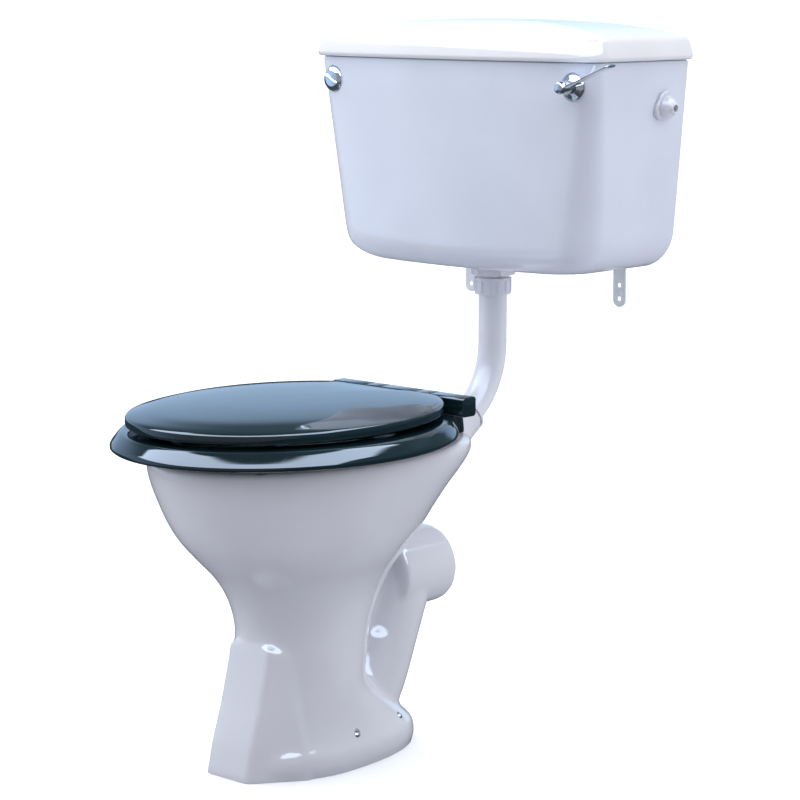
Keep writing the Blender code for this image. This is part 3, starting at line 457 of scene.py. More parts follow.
def melted(piece, voxel, passes, weight=0.5):
    """Melt joined solids into one skin with soft fillets, as slip casting and glaze do."""
    remesh = piece.modifiers.new("skin", "REMESH")
    remesh.mode = "VOXEL"
    remesh.voxel_size = voxel
    remesh.use_smooth_shade = True
    smooth = piece.modifiers.new("glaze", "SMOOTH")
    smooth.factor = weight
    smooth.iterations = passes
    settle(piece)
    piece.data.shade_smooth()
    return piece


def place(piece, *nodes):
    """The piece stands for CAD nodes of one body, and takes their finish."""
    slot = SLOT_OF_NODE[nodes[0]]
    piece.data.materials.clear()
    piece.data.materials.append(finish_of(slot))
    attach(piece, BODY_OF_NODE[nodes[0]])
    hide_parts(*nodes)
    return piece


# ---------------------------------------------------------------- geometry rules
class Rule:
    """A Geometry Nodes tree with named inputs that ends in Realize Instances and Set Material."""

    def __init__(self, name):
        self.tree = bpy.data.node_groups.new(name, "GeometryNodeTree")
        self.tree.interface.new_socket(name="Geometry", in_out="OUTPUT",
                                       socket_type="NodeSocketGeometry")
        self.sockets = {}
        self.inputs = None

    def size(self, label, kind="NodeSocketFloat"):
        self.sockets[label] = self.tree.interface.new_socket(name=label, in_out="INPUT",
                                                             socket_type=kind)

    def sizes_named(self, *labels):
        for label in labels:
            self.size(label)

    def input(self, label):
        if self.inputs is None:
            self.inputs = self.tree.nodes.new("NodeGroupInput")
        return self.inputs.outputs[label]

    def node(self, kind, settings, output=0, **links):
        made = self.tree.nodes.new(kind)
        for label, value in settings.items():
            setattr(made, label, value)
        for label, value in links.items():
            socket = made.inputs[label.replace("_", " ")]
            if isinstance(value, bpy.types.NodeSocket):
                self.tree.links.new(value, socket)
            else:
                socket.default_value = value
        return made.outputs[output]

    def finish(self, geometry):
        self.size("Finish", "NodeSocketMaterial")
        real = self.node("GeometryNodeRealizeInstances", {}, Geometry=geometry)
        painted = self.node("GeometryNodeSetMaterial", {}, Geometry=real,
                            Material=self.input("Finish"))
        ending = self.tree.nodes.new("NodeGroupOutput")
        self.tree.links.new(painted, ending.inputs["Geometry"])

    def grow(self, name, **sizes):
        """A plain mesh made by the rule at those sizes."""
        piece = mesh_object(name, [], [])
        modifier = piece.modifiers.new("rule", "NODES")
        modifier.node_group = self.tree
        for label, value in sizes.items():
            modifier[self.sockets[label.replace("_", " ")].identifier] = value
        return settle(piece)


def rib_rule():
    """Count upright ribs in a circle, each a small block of its own sizes."""
    rule = Rule("ribs_in_a_circle")
    rule.size("Count", "NodeSocketInt")
    rule.sizes_named("Circle", "Width", "Depth", "Height")
    circle = rule.node("GeometryNodeMeshCircle", {"fill_type": "NONE"},
                       Vertices=rule.input("Count"), Radius=rule.input("Circle"))
    sizes = rule.node("ShaderNodeCombineXYZ", {}, X=rule.input("Depth"), Y=rule.input("Width"),
                      Z=rule.input("Height"))
    rib = rule.node("GeometryNodeMeshCube", {}, Size=sizes)
    position = rule.node("GeometryNodeInputPosition", {})
    turn = rule.node("FunctionNodeAlignRotationToVector", {"axis": "X"}, Vector=position)
    ribs = rule.node("GeometryNodeInstanceOnPoints", {}, Points=circle, Instance=rib, Rotation=turn)
    rule.finish(ribs)
    return rule


def thread_rule():
    """A stack of rounded rings that reads as a screw thread."""
    rule = Rule("thread_rings")
    rule.size("Turns", "NodeSocketInt")
    rule.sizes_named("Pitch", "Thread", "Crest")
    step = rule.node("ShaderNodeCombineXYZ", {}, Z=rule.input("Pitch"))
    line = rule.node("GeometryNodeMeshLine", {"mode": "OFFSET"}, Count=rule.input("Turns"),
                     Offset=step)
    crest = rule.node("GeometryNodeCurvePrimitiveCircle", {"mode": "RADIUS"}, Resolution=6,
                      Radius=rule.input("Crest"))
    turn = rule.node("GeometryNodeCurvePrimitiveCircle", {"mode": "RADIUS"}, Resolution=32,
                     Radius=rule.input("Thread"))
    ring = rule.node("GeometryNodeCurveToMesh", {}, Curve=turn, Profile_Curve=crest)
    rings = rule.node("GeometryNodeInstanceOnPoints", {}, Points=line, Instance=ring)
    rule.finish(rings)
    return rule


def copies_rule():
    """Copies of one piece, one at each of the given places."""
    rule = Rule("copies_at_places")
    rule.size("Piece", "NodeSocketObject")
    rule.size("Places", "NodeSocketObject")
    rule.size("Turn")
    places = rule.node("GeometryNodeObjectInfo", {}, output="Geometry", Object=rule.input("Places"))
    piece = rule.node("GeometryNodeObjectInfo", {}, output="Geometry", Object=rule.input("Piece"))
    points = rule.node("GeometryNodeMeshToPoints", {}, Mesh=places)
    index = rule.node("GeometryNodeInputIndex", {})
    angle = rule.node("ShaderNodeMath", {"operation": "MULTIPLY"})
    rule.tree.links.new(index, angle.node.inputs[0])
    rule.tree.links.new(rule.input("Turn"), angle.node.inputs[1])
    turn = rule.node("ShaderNodeCombineXYZ", {}, Z=angle)
    rule.finish(rule.node("GeometryNodeInstanceOnPoints", {}, Points=points, Instance=piece,
                          Rotation=turn))
    return rule


def copies(name, piece, places, turn, *nodes):
    """Stand copies of a piece at places for several like nodes of one body."""
    spots = mesh_object("spots", places, [])
    made = copies_rule().grow(name, Piece=piece, Places=spots, Turn=turn,
                              Finish=finish_of(SLOT_OF_NODE[nodes[0]]))
    for used in (piece, spots):
        bpy.data.objects.remove(used, do_unlink=True)
    made.data.shade_smooth()
    made.data.set_sharp_from_angle(angle=SMOOTH_ANGLE)
    return place(made, *nodes)


def moved(piece, offset, axis=UP):
    """Turn a piece's mesh so that +Z lies along the axis, then shift it."""
    piece.data.transform(leaning(axis).to_matrix().to_4x4())
    for vertex in piece.data.vertices:
        vertex.co += Vector(offset)
    return piece


# ---------------------------------------------------------------- pan
PAN_MIDDLE, BOWL_MIDDLE = 0.475, 0.462
# Plan sections of the pan: z, half width, front, rear, squareness of the rear half.
PAN_LEVELS = (
    (0.000, 0.0900, 0.597, 0.302, 2.3), (0.010, 0.0925, 0.600, 0.298, 2.3),
    (0.026, 0.0910, 0.597, 0.301, 2.3), (0.038, 0.0860, 0.590, 0.312, 2.2),
    (0.060, 0.0810, 0.580, 0.340, 2.1), (0.095, 0.0775, 0.571, 0.385, 2.0),
    (0.135, 0.0755, 0.564, 0.382, 2.0), (0.165, 0.0750, 0.561, 0.375, 2.0),
    (0.190, 0.0775, 0.565, 0.363, 2.0), (0.215, 0.0840, 0.575, 0.350, 2.0),
    (0.240, 0.0960, 0.592, 0.334, 2.0), (0.265, 0.1130, 0.617, 0.317, 2.0),
    (0.290, 0.1270, 0.641, 0.300, 2.1), (0.315, 0.1370, 0.658, 0.284, 2.2),
    (0.340, 0.1450, 0.670, 0.268, 2.4), (0.362, 0.1515, 0.679, 0.250, 2.6),
    (0.380, 0.1550, 0.684, 0.241, 2.8), (0.391, 0.1550, 0.684, 0.240, 2.8),
    (RIM_TOP, 0.1510, 0.680, 0.244, 2.8))
BOWL_LEVELS = (
    (0.410, 0.116, 0.640, 0.338), (0.350, 0.116, 0.640, 0.338), (0.346, 0.132, 0.656, 0.322),
    (0.322, 0.125, 0.646, 0.324), (0.290, 0.114, 0.628, 0.330), (0.262, 0.099, 0.602, 0.342),
    (0.236, 0.081, 0.572, 0.356), (0.205, 0.067, 0.549, 0.372), (0.175, 0.058, 0.530, 0.386),
    (0.150, 0.048, 0.510, 0.402))
BELOW_FLOOR = -0.012              # the foot is made this much too long, then sawn off flat
FOOT_HOLLOW = ((-0.030, 0.062, 0.052), (0.060, 0.052, 0.042), (0.125, 0.040, 0.022))
FOOT_HOLLOW_MIDDLE = 0.535
WATERWAY = ((0.452, 0.160), (0.444, 0.122), (0.425, 0.085), (0.397, 0.065), (0.369, 0.071),
            (0.350, 0.098), (0.335, 0.130), (0.321, 0.160), (0.304, 0.189), (0.281, 0.207),
            (0.253, 0.210), (0.222, 0.210))
WATERWAY_RADIUS, TRAP_RADIUS = 0.036, 0.0430
RIM_FEED, RIM_FEED_RADIUS = ((0.232, 0.354), (0.265, 0.346), (0.348, 0.341)), 0.013
TRAP_LEG = ((0.372, 0.025), (0.358, 0.060), (0.345, 0.084), (0.334, 0.109), (0.324, 0.134),
            (0.313, 0.160), (0.301, 0.190), (0.292, 0.212))
TRAP_LEG_HALF_WIDTH, TRAP_LEG_HALF_DEPTH = 0.047, 0.045
OUTLET_Z, OUTLET_RADIUS, OUTLET_ROOT, OUTLET_END = 0.210, 0.051, 0.330, 0.234
WEB_HALF_WIDTH = 0.020
WEB_OUTLINE = ((0.430, 0.060), (0.350, 0.060), (0.300, 0.245), (0.325, 0.276), (0.430, 0.250))
# Pedestal front: z, depth and half width of the flat, depth and half width of the facet's end.
PEDESTAL_FRONT = (
    (0.000, 0.6040, 0.0345, 0.540, 0.0800), (0.040, 0.5945, 0.0345, 0.540, 0.0720),
    (0.087, 0.5790, 0.0345, 0.542, 0.0615), (0.135, 0.5665, 0.0345, 0.540, 0.0530))
PEDESTAL_TOP = (0.160, 0.5620, 0.0345, 0.538, 0.052)
PEDESTAL_FACET_DROP = 0.012
FLOOR_SCREWS = ((0.0825, 0.460, 0.0400), (0.0610, 0.359, 0.0380))
SCREW_LEAN, SCREW_SLOT_TURN = radians(40), 0.4
PIPE_DEPTH, PIPE_RADIUS, PIPE_BORE = 0.108, 0.0188, 0.0168
PIPE_BEND, PIPE_BEND_Z, PIPE_TURN = 0.105, 0.487, 59
BOLT_X, BOLT_DEPTH, DECK_UNDER, BOLT_END = 0.0775, 0.273, 0.3700, 0.3560


def oval(z, half_width, front, rear, middle, square=2.0, count=96):
    """A plan section that is elliptical in front of its middle and squarer behind it."""
    ring = []
    for i in range(count):
        angle = 2 * pi * i / count
        across, forward = cos(angle), sin(angle)
        power = 2.0 / (2.0 if forward > 0 else square)
        reach = front - middle if forward > 0 else middle - rear
        x = half_width * abs(across) ** power * (1 if across > 0 else -1)
        distance = middle + reach * abs(forward) ** power * (1 if forward > 0 else -1)
        ring.append((x, from_wall(distance), z))
    return ring


def pedestal_front():
    """The flat front of the pedestal with a facet on each side of it."""
    rings = []
    inside = 0.500
    levels = ((BELOW_FLOOR, *PEDESTAL_FRONT[0][1:]), *PEDESTAL_FRONT, PEDESTAL_TOP)
    for z, flat, half_flat, facet, half_facet in levels:
        drop = PEDESTAL_FACET_DROP if z == PEDESTAL_TOP[0] else 0.0
        rings.append([(-0.02, from_wall(inside), z), (-half_facet, from_wall(facet), z - drop),
                      (-half_flat, from_wall(flat), z), (half_flat, from_wall(flat), z),
                      (half_facet, from_wall(facet), z - drop), (0.02, from_wall(inside), z)])
    return loft("pedestal_front", rings)


def horn_point(distance_in):
    """A point on the horn's axis as (distance, z), measured inwards from its mouth."""
    turn = radians(PIPE_TURN)
    mouth = (PIPE_DEPTH + PIPE_BEND * (1 - cos(turn)), PIPE_BEND_Z - PIPE_BEND * sin(turn))
    return mouth[0] + distance_in * sin(turn), mouth[1] - distance_in * cos(turn)


def horn_axis():
    turn = radians(PIPE_TURN)
    return Vector((0.0, -sin(turn), -cos(turn)))


def screw_axis(side):
    """Direction of a floor screw: up and outwards."""
    return Vector((side * sin(SCREW_LEAN), 0.0, cos(SCREW_LEAN)))


def make_pan(skin):
    levels = ((BELOW_FLOOR, *PAN_LEVELS[0][1:]), *PAN_LEVELS)
    pan = loft("glazed_pan", [oval(z, width, front, rear, PAN_MIDDLE, square)
                              for z, width, front, rear, square in through(levels, 77)])
    leg = swept("leg", [on_centre(*point) for point in through(TRAP_LEG, 29)], TRAP_LEG_HALF_WIDTH,
                TRAP_LEG_HALF_DEPTH)
    spigot = turned("spigot", ((0.0001, 0.0), (OUTLET_RADIUS, 0.0),
                               (OUTLET_RADIUS, OUTLET_ROOT - OUTLET_END),
                               (0.0001, OUTLET_ROOT - OUTLET_END)),
                    on_centre(OUTLET_ROOT, OUTLET_Z), (0, 1, 0))
    web = prism("web", WEB_OUTLINE, -WEB_HALF_WIDTH, WEB_HALF_WIDTH)
    horn = turned("horn", ((0.0262, 0.0), (0.0262, 0.016), (0.030, 0.045), (0.040, 0.085)),
                  on_centre(*horn_point(0.002)), horn_axis())
    trap = swept("trap", [on_centre(*point) for point in through(WATERWAY[1:7], 21)], TRAP_RADIUS,
                 TRAP_RADIUS)
    join(pan, pedestal_front(), web, leg, trap, spigot, horn)
    bowl = loft("bowl", [oval(*level, BOWL_MIDDLE) for level in BOWL_LEVELS])
    waterway = swept("waterway", [on_centre(*point) for point in through(WATERWAY, 45)],
                     WATERWAY_RADIUS, WATERWAY_RADIUS)
    join(bowl, waterway)
    mouth = turned("mouth", ((0.0222, -0.004), (0.0222, 0.036)), on_centre(*horn_point(0.0)),
                   horn_axis(), edge=0.0)
    feed_route = (horn_point(0.030), *RIM_FEED)
    feed = swept("feed", [on_centre(*point) for point in feed_route], RIM_FEED_RADIUS,
                 RIM_FEED_RADIUS, sides=24)
    middle = FOOT_HOLLOW_MIDDLE
    hollow = loft("hollow", [oval(z, width, middle + deep, middle - deep, middle, 2.0, 48)
                             for z, width, deep in FOOT_HOLLOW])
    cut(pan, bowl, mouth, feed, hollow)
    melted(pan, skin.voxel, skin.passes)
    cut(pan, block("saw", (-0.2, from_wall(0.75), -0.06), (0.2, from_wall(0.15), 0.0)),
        solver="MANIFOLD")
    for side in (-1, 1):
        x, y = side * BOLT_X, from_wall(BOLT_DEPTH)
        cut(pan, turned("bolt_hole", ((0.0060, -0.09), (0.0060, 0.03)), (x, y, RIM_TOP), UP, 24),
            turned("under", ((0.0135, -0.050), (0.0135, 0.0)), (x, y, DECK_UNDER), UP, 32),
            solver="MANIFOLD")
        for screw_x, distance, z in FLOOR_SCREWS:
            seat = (side * screw_x, from_wall(distance), z)
            cut(pan, turned("seat", ((0.0050, 0.0), (0.0054, 0.022)), seat, screw_axis(side), 32),
                turned("hole", ((0.0031, -0.06), (0.0031, 0.01)), seat, screw_axis(side), 24),
                solver="MANIFOLD")
    pan.data.set_sharp_from_angle(angle=radians(50))
    return place(pan, "pan")


def make_floor_screws():
    """Cross-slotted round heads, one rule for the two on each side."""
    for side, label in SIDES:
        head = turned("head", ((0.0001, -0.0290), (0.0024, -0.0250), (0.0024, 0.0005),
                               (0.0042, 0.0005), (0.0040, 0.0022), (0.0026, 0.0037),
                               (0.0001, 0.0041)), (0, 0, 0), UP, 32)
        cut(head, block("slot", (-0.0030, -0.0005, 0.0024), (0.0030, 0.0005, 0.0070)),
            block("slot", (-0.0005, -0.0030, 0.0024), (0.0005, 0.0030, 0.0070)))
        head.data.transform(Matrix.Rotation(side * SCREW_SLOT_TURN, 4, "Z"))
        moved(head, (0, 0, 0), screw_axis(side))
        places = [(side * x, from_wall(distance), z) for x, distance, z in FLOOR_SCREWS]
        copies(f"floor_screws_{label}", head, places, 0.0,
               f"floor_screw_front_{label}", f"floor_screw_rear_{label}")


# ---------------------------------------------------------------- flush pipe
TAIL_RADIUS, TAIL_END = 0.0215, 0.5625


def make_flush_pipe():
    top = TAIL_END - 0.004
    centre = (PIPE_DEPTH + PIPE_BEND, PIPE_BEND_Z)
    bend = [(centre[0] - PIPE_BEND * cos(radians(turn)), centre[1] - PIPE_BEND * sin(radians(turn)))
            for turn in range(0, PIPE_TURN, 2)]
    route = [(PIPE_DEPTH, top), (PIPE_DEPTH, 0.52), *bend, horn_point(0.0), horn_point(0.030)]
    pipe = swept("bent_pipe", [on_centre(*point) for point in route], PIPE_RADIUS, PIPE_RADIUS,
                 sides=64, bore=PIPE_BORE)
    collar = turned("collar", ((0.0175, -0.0025), (0.0205, -0.0025), (0.0205, 0.0), (0.0175, 0.0)),
                    on_centre(PIPE_DEPTH, top), UP, bored=True)
    return place(join(pipe, collar), "flush_pipe")


def make_coupling():
    """The pipe's coupling nut with its ribs, and the thin white back nut above it."""
    low, high, lip, thread = 0.552, 0.574, PIPE_RADIUS + 0.0007, TAIL_RADIUS + 0.0007
    shell = turned("coupling_nut", ((lip, low), (0.0236, low), (0.0240, low + 0.0016),
                                    (0.0240, high - 0.004), (0.0250, high - 0.003), (0.0250, high),
                                    (thread, high), (thread, low + 0.0035), (lip, low + 0.0035)),
                   on_centre(PIPE_DEPTH, 0.0), UP, 96, True)
    ribs = rib_rule().grow("ribs", Count=12, Circle=0.0238, Width=0.0046, Depth=0.0022,
                           Height=high - low - 0.0060, Finish=finish_of("pipe_plastic"))
    moved(ribs, on_centre(PIPE_DEPTH, (low + high) / 2 - 0.0005))
    bevelled(ribs, 0.0006)
    place(merge(shell, ribs), "flush_pipe_nut")
    cone = turned("cone_seal", ((0.0195, 0.028), (0.0195, -0.003), (0.0245, -0.003),
                                (0.0255, -0.0003), (0.0255, 0.0015), (0.0217, 0.0015),
                                (0.0217, 0.028)),
                  on_centre(*horn_point(0.0)), horn_axis(), 64, True)
    place(cone, "flush_cone")
    place(hex_nut("white_back_nut", TAIL_RADIUS + 0.0007, 0.0520, 0.5772, CISTERN_BOTTOM - 0.0003,
                  on_centre(PIPE_DEPTH, 0.0), UP), "siphon_back_nut")


def merge(piece, other):
    """Put another object's mesh into the piece's, as a shell of its own."""
    work = bmesh.new()
    work.from_mesh(piece.data)
    work.from_mesh(other.data)
    work.to_mesh(piece.data)
    work.free()
    bpy.data.objects.remove(other, do_unlink=True)
    piece.data.set_sharp_from_angle(angle=SMOOTH_ANGLE)
    return piece


def hex_nut(name, bore, across, low, high, centre, axis, turn=0.0, count=72):
    """A hexagonal nut with chamfered corners and a round bore."""
    lean = leaning(axis)
    chamfer = min(0.0012, (high - low) * 0.2)
    rings = []
    for shape, height in (("bore", low), ("round", low), ("hexagon", low + chamfer),
                          ("hexagon", high - chamfer), ("round", high), ("bore", high)):
        ring = []
        for i in range(count):
            angle = 2 * pi * i / count
            from_flat = (angle + pi / 6) % (pi / 3) - pi / 6
            radius = {"bore": bore, "round": across / 2, "hexagon": across / 2 / cos(from_flat)}[shape]
            local = Vector((radius * cos(angle + turn), radius * sin(angle + turn), height))
            ring.append(Vector(centre) + lean @ local)
        rings.append(ring)
    return loft(name, rings, closed=True)


# ---------------------------------------------------------------- cistern
CISTERN_HALF_WIDTH, CISTERN_DEPTH, CISTERN_BOW = 0.237, 0.194, 0.020
CISTERN_SIDE_TAPER, CISTERN_FRONT_TAPER = 0.023, 0.012
CISTERN_WALL, CISTERN_FLOOR = 0.009, 0.012
LID_TOP, LID_OVERHANG = 0.913, 0.0078
FITTING_X, FITTING_Z = 0.205, 0.832
SPOTFACE, SPOTFACE_RADIUS = 0.1954, 0.0178
SIDE_HOLE_DEPTH, SIDE_HOLE_Z = 0.050, 0.804
BRACKET_X, BRACKET_HALF_WIDTH, BRACKET_HOLES = 0.1295, 0.010, (0.546, 0.564)


def cistern_plan(half_width, back, front, bow, back_radius, front_radius):
    """Plan outline of the cistern: square back, rounded front corners, bowed front."""
    half = [(half_width * share, back) for share in (0.0, 0.25, 0.5, 0.75)]
    half += arc((half_width - back_radius, back + back_radius), back_radius, -90, 0, 5)
    side_run = half[-1][1]
    side_end = front - front_radius
    half += [(half_width, side_run + (side_end - side_run) * share) for share in (0.25, 0.5, 0.75)]
    half += arc((half_width - front_radius, side_end), front_radius, 0, 90, 13)
    edge = half[-1][0]
    half += [(edge * (1 - step / 14), front) for step in range(1, 15)]
    bowed = []
    for x, distance in half:
        nearness = max(0.0, (distance - side_end) / front_radius)
        bowed.append((x, distance + bow * (1 - (x / half_width) ** 2) * nearness))
    return bowed + [(-x, distance) for x, distance in bowed[-2:0:-1]]


def cistern_section(z, inset=0.0, front_inset=0.0, back_inset=0.0):
    """The cistern's outer plan at a height, moved inwards by the insets."""
    down = (CISTERN_TOP - z) / (CISTERN_TOP - CISTERN_BOTTOM)
    front = CISTERN_DEPTH - CISTERN_FRONT_TAPER * down - front_inset
    half_width = CISTERN_HALF_WIDTH - CISTERN_SIDE_TAPER * down - inset
    front_radius = max(0.010, 0.020 + 0.025 * down - min(inset, 0.009))
    plan = cistern_plan(half_width, back_inset + 0.0005, front, CISTERN_BOW, 0.006, front_radius)
    return [(x, from_wall(distance), z) for x, distance in plan]


def rounded_inset(height, radius):
    """How far a rounded bottom edge lies inwards at a height above the bottom."""
    return radius - sqrt(radius ** 2 - (radius - min(height, radius)) ** 2)


def make_cistern():
    floor = CISTERN_BOTTOM + CISTERN_FLOOR
    rings = []
    for height in (0.0, 0.0008, 0.003, 0.007, 0.013, 0.021, 0.030, 0.040, 0.080, 0.140, 0.200):
        rings.append(cistern_section(floor + height, CISTERN_WALL + rounded_inset(height, 0.040),
                                     CISTERN_WALL + rounded_inset(height, 0.022), CISTERN_WALL))
    top_edge = ((-0.0030, 1.0), (-0.0010, 0.93), (0.0, 0.75), (0.0, 0.25), (-0.0010, 0.07))
    for height, share in top_edge:
        inset = CISTERN_WALL * share
        rings.append(cistern_section(CISTERN_TOP + height, inset, inset, inset))
    outside = (0.267, 0.220, 0.180, 0.140, 0.100, 0.070, 0.055, 0.046, 0.038, 0.031, 0.025, 0.019,
               0.014, 0.0095, 0.006, 0.0033, 0.0014, 0.0004, 0.0)
    for height in outside:
        rings.append(cistern_section(CISTERN_BOTTOM + height, rounded_inset(height, 0.050),
                                     rounded_inset(height, 0.032), rounded_inset(height, 0.006)))
    body = loft("glazed_cistern", rings)
    cut(body, turned("tail_hole", ((TAIL_RADIUS + 0.001, -0.03), (TAIL_RADIUS + 0.001, 0.05)),
                     on_centre(PIPE_DEPTH, CISTERN_BOTTOM), UP))
    for side in (-1, 1):
        front = (side * FITTING_X, from_wall(SPOTFACE), FITTING_Z)
        end = (side * CISTERN_HALF_WIDTH, from_wall(SIDE_HOLE_DEPTH), SIDE_HOLE_Z)
        spotface = ((SPOTFACE_RADIUS, 0.0), (SPOTFACE_RADIUS + 0.004, 0.03))
        cut(body, turned("spotface", spotface, front, FORWARD, edge=0.0),
            turned("front_hole", ((0.0078, -0.02), (0.0078, 0.01)), front, FORWARD, 32),
            turned("side_hole", ((0.0112, -0.03), (0.0112, 0.01)), end, (side, 0, 0), 32))
    return place(body, "cistern_body")


def make_lid():
    """The lid: hollow below, a locating lip inside the cistern, a rolled edge and a crown."""
    under = CISTERN_TOP + 0.0003
    rings = [cistern_section(z, inset, inset, inset) for z, inset in (
        (0.8900, 0.075), (0.8900, 0.050), (0.8888, 0.0380), (0.8830, 0.0250), (0.8560, 0.0180),
        (0.8540, 0.0172), (0.8535, 0.0150), (0.8540, 0.0128), (0.8560, 0.0120), (0.8600, 0.0120),
        (under, 0.0110), (under, 0.0010))]
    edge = soften(((0.0010, under), (0.0056, under + 0.0008), (LID_OVERHANG, 0.8668),
                   (0.0046, 0.8780), (0.0012, 0.8870), (-0.0014, 0.8905), (-0.0055, 0.8930)), 0.0030, 3)
    top_plan = cistern_section(CISTERN_TOP)
    for proud, z in edge[1:]:
        rings.append([(x, y, z) for x, y, _ in cistern_section(CISTERN_TOP, -proud, -proud)])
    middle = from_wall(0.104)
    for share, z in through(((0.93, 0.8955), (0.80, 0.9020), (0.55, 0.9088), (0.25, 0.9122),
                             (0.02, LID_TOP)), 25):
        rings.append([(x * share, middle + (y - middle) * share, min(z, LID_TOP))
                      for x, y, _ in top_plan])
    return place(loft("glazed_lid", rings), "cistern_lid")


def make_brackets():
    """Two angle brackets: a shelf under the cistern and a rounded, drilled tab on the wall."""
    for side, label in SIDES:
        x = side * BRACKET_X
        low_x, high_x = x - BRACKET_HALF_WIDTH, x + BRACKET_HALF_WIDTH
        tab = [(low_x, 0.5908), *arc((x, 0.545), BRACKET_HALF_WIDTH, 180, 360, 25), (high_x, 0.5908)]
        bracket = plate(f"angle_bracket_{label}", tab, 0.0, 0.003)
        join(bracket, block("shelf", (low_x, from_wall(0.055), 0.5883),
                            (high_x, from_wall(0.001), CISTERN_BOTTOM - 0.0003)))
        for z in BRACKET_HOLES:
            cut(bracket, turned("hole", ((0.0032, -0.01), (0.0032, 0.01)),
                                (x, from_wall(0.0015), z), (0, 1, 0), 32))
        place(bevelled(bracket, 0.0005), f"wall_bracket_{label}")


# ---------------------------------------------------------------- fittings on the cistern
LEVER_RISE = 21.7
# Stations along the lever's blade: distance along it, its two edges, half its thickness.
LEVER_BLADE = (
    (-0.004, 0.2125, 0.2275, 0.0020), (0.020, 0.2120, 0.2280, 0.0019),
    (0.045, 0.2115, 0.2286, 0.0016), (0.070, 0.2112, 0.2289, 0.0017),
    (0.081, 0.2118, 0.2284, 0.0021), (0.0838, 0.2140, 0.2262, 0.0014))


def make_lever():
    """Escutcheon, boss and the thin blade that rises to the right."""
    seat = Vector((FITTING_X, from_wall(SPOTFACE), FITTING_Z))
    place(turned("escutcheon", ((0.0052, 0.0003), (0.0165, 0.0003), (0.0165, 0.0026),
                                (0.0152, 0.0040), (0.0128, 0.0052), (0.0090, 0.0078),
                                (0.0052, 0.0080)), seat, FORWARD, 96, True), "lever_escutcheon")
    handle = turned("lever_blade", ((0.0001, 0.0088), (0.0085, 0.0088), (0.0085, 0.0286),
                                    (0.0066, 0.0326), (0.0001, 0.0339)), seat, FORWARD, 64,
                    edge=0.0012)
    rise = Vector((cos(radians(LEVER_RISE)), 0.0, sin(radians(LEVER_RISE))))
    across = Vector((-rise.z, 0.0, rise.x))
    rings = []
    for along, near, far, thick in through(LEVER_BLADE, 21):
        middle, half = (near + far) / 2, (far - near) / 2
        centre = Vector((FITTING_X, from_wall(middle), FITTING_Z - 0.002)) + rise * along
        rings.append([centre + Vector((0.0, 1.0, 0.0)) * half * cos(a) * (1 - 0.08 * sin(a) ** 2)
                      + across * thick * sin(a) for a in [2 * pi * i / 28 for i in range(28)]])
    join(handle, loft("blade", rings))
    cut(handle, turned("socket", ((0.0050, 0.0), (0.0050, 0.0210)), seat, FORWARD, 32))
    place(handle, "lever_handle")


def make_blanking_cap():
    seat = (-FITTING_X, from_wall(SPOTFACE), FITTING_Z)
    cap = turned("blanking_plug", ((0.0001, -0.0230), (0.0070, -0.0230), (0.0070, 0.0003),
                                   (0.0165, 0.0003), (0.0165, 0.0026), (0.0152, 0.0048),
                                   (0.0105, 0.0068), (0.0001, 0.0079)), seat, FORWARD, 96)
    lean = Vector((0.010, -0.006))
    across = Vector((0.006, 0.010)).normalized() * 0.0011
    corners = [(-FITTING_X + a * lean.x + b * across.x, FITTING_Z + a * lean.y + b * across.y)
               for a, b in ((-1, -1), (1, -1), (1, 1), (-1, 1))]
    ridge = bevelled(plate("ridge", corners, SPOTFACE + 0.004, SPOTFACE + 0.0103), 0.0008)
    place(join(cap, ridge), "blanking_cap")


def make_overflow():
    """Rounded three-sided flange, swelling collar and conical nozzle, leaning with the wall."""
    lean = CISTERN_SIDE_TAPER / (CISTERN_TOP - CISTERN_BOTTOM)
    axis = Vector((1, 0, -lean)).normalized()
    side_x = CISTERN_HALF_WIDTH - lean * (CISTERN_TOP - SIDE_HOLE_Z)
    face = Vector((side_x, from_wall(SIDE_HOLE_DEPTH), SIDE_HOLE_Z))
    turn = leaning(axis)
    rings = []
    for height, shrink in soften(((0.0004, 0.0006), (0.0006, 0.0), (0.0040, 0.0), (0.0055, 0.0016),
                                  (0.0056, 0.0040)), 0.0008):
        ring = []
        for i in range(96):
            angle = 2 * pi * i / 96
            radius = 0.0185 + 0.0022 * cos(3 * angle + pi) - shrink
            ring.append(face + turn @ Vector((radius * cos(angle), radius * sin(angle), height)))
        rings.append(ring)
    fitting = loft("overflow_spout", rings)
    join(fitting,
         turned("nozzle", ((0.0001, 0.0040), (0.0148, 0.0040), (0.0147, 0.0080), (0.0122, 0.0132),
                           (0.0078, 0.0172), (0.0064, 0.0202), (0.0001, 0.0204)), face, axis, 64,
                edge=0.0010),
         turned("shank", ((0.0104, -0.030), (0.0104, 0.004)), face, axis, 48))
    cut(fitting, turned("way", ((0.0046, -0.04), (0.0046, 0.03)), face, axis, 32))
    place(fitting, "overflow_connector")


# ---------------------------------------------------------------- siphon and valve
SIPHON_LEG_X, SIPHON_LEG_RADIUS, SIPHON_LEG_TOP = 0.066, 0.0190, 0.735
LEVER_ROD_X = 0.097
BELL_RADIUS, BELL_LOW, BELL_HIGH = 0.052, 0.616, 0.690


def siphon_route(low_up, low_down):
    """The U of the siphon: up leg, bend, down leg."""
    bend_radius = SIPHON_LEG_X / 2
    bend = arc((bend_radius, SIPHON_LEG_TOP), bend_radius, 0, 180, 33)
    points = [(SIPHON_LEG_X, low_up)] + bend + [(0.0, low_down)]
    return [(x, from_wall(PIPE_DEPTH), z) for x, z in points]


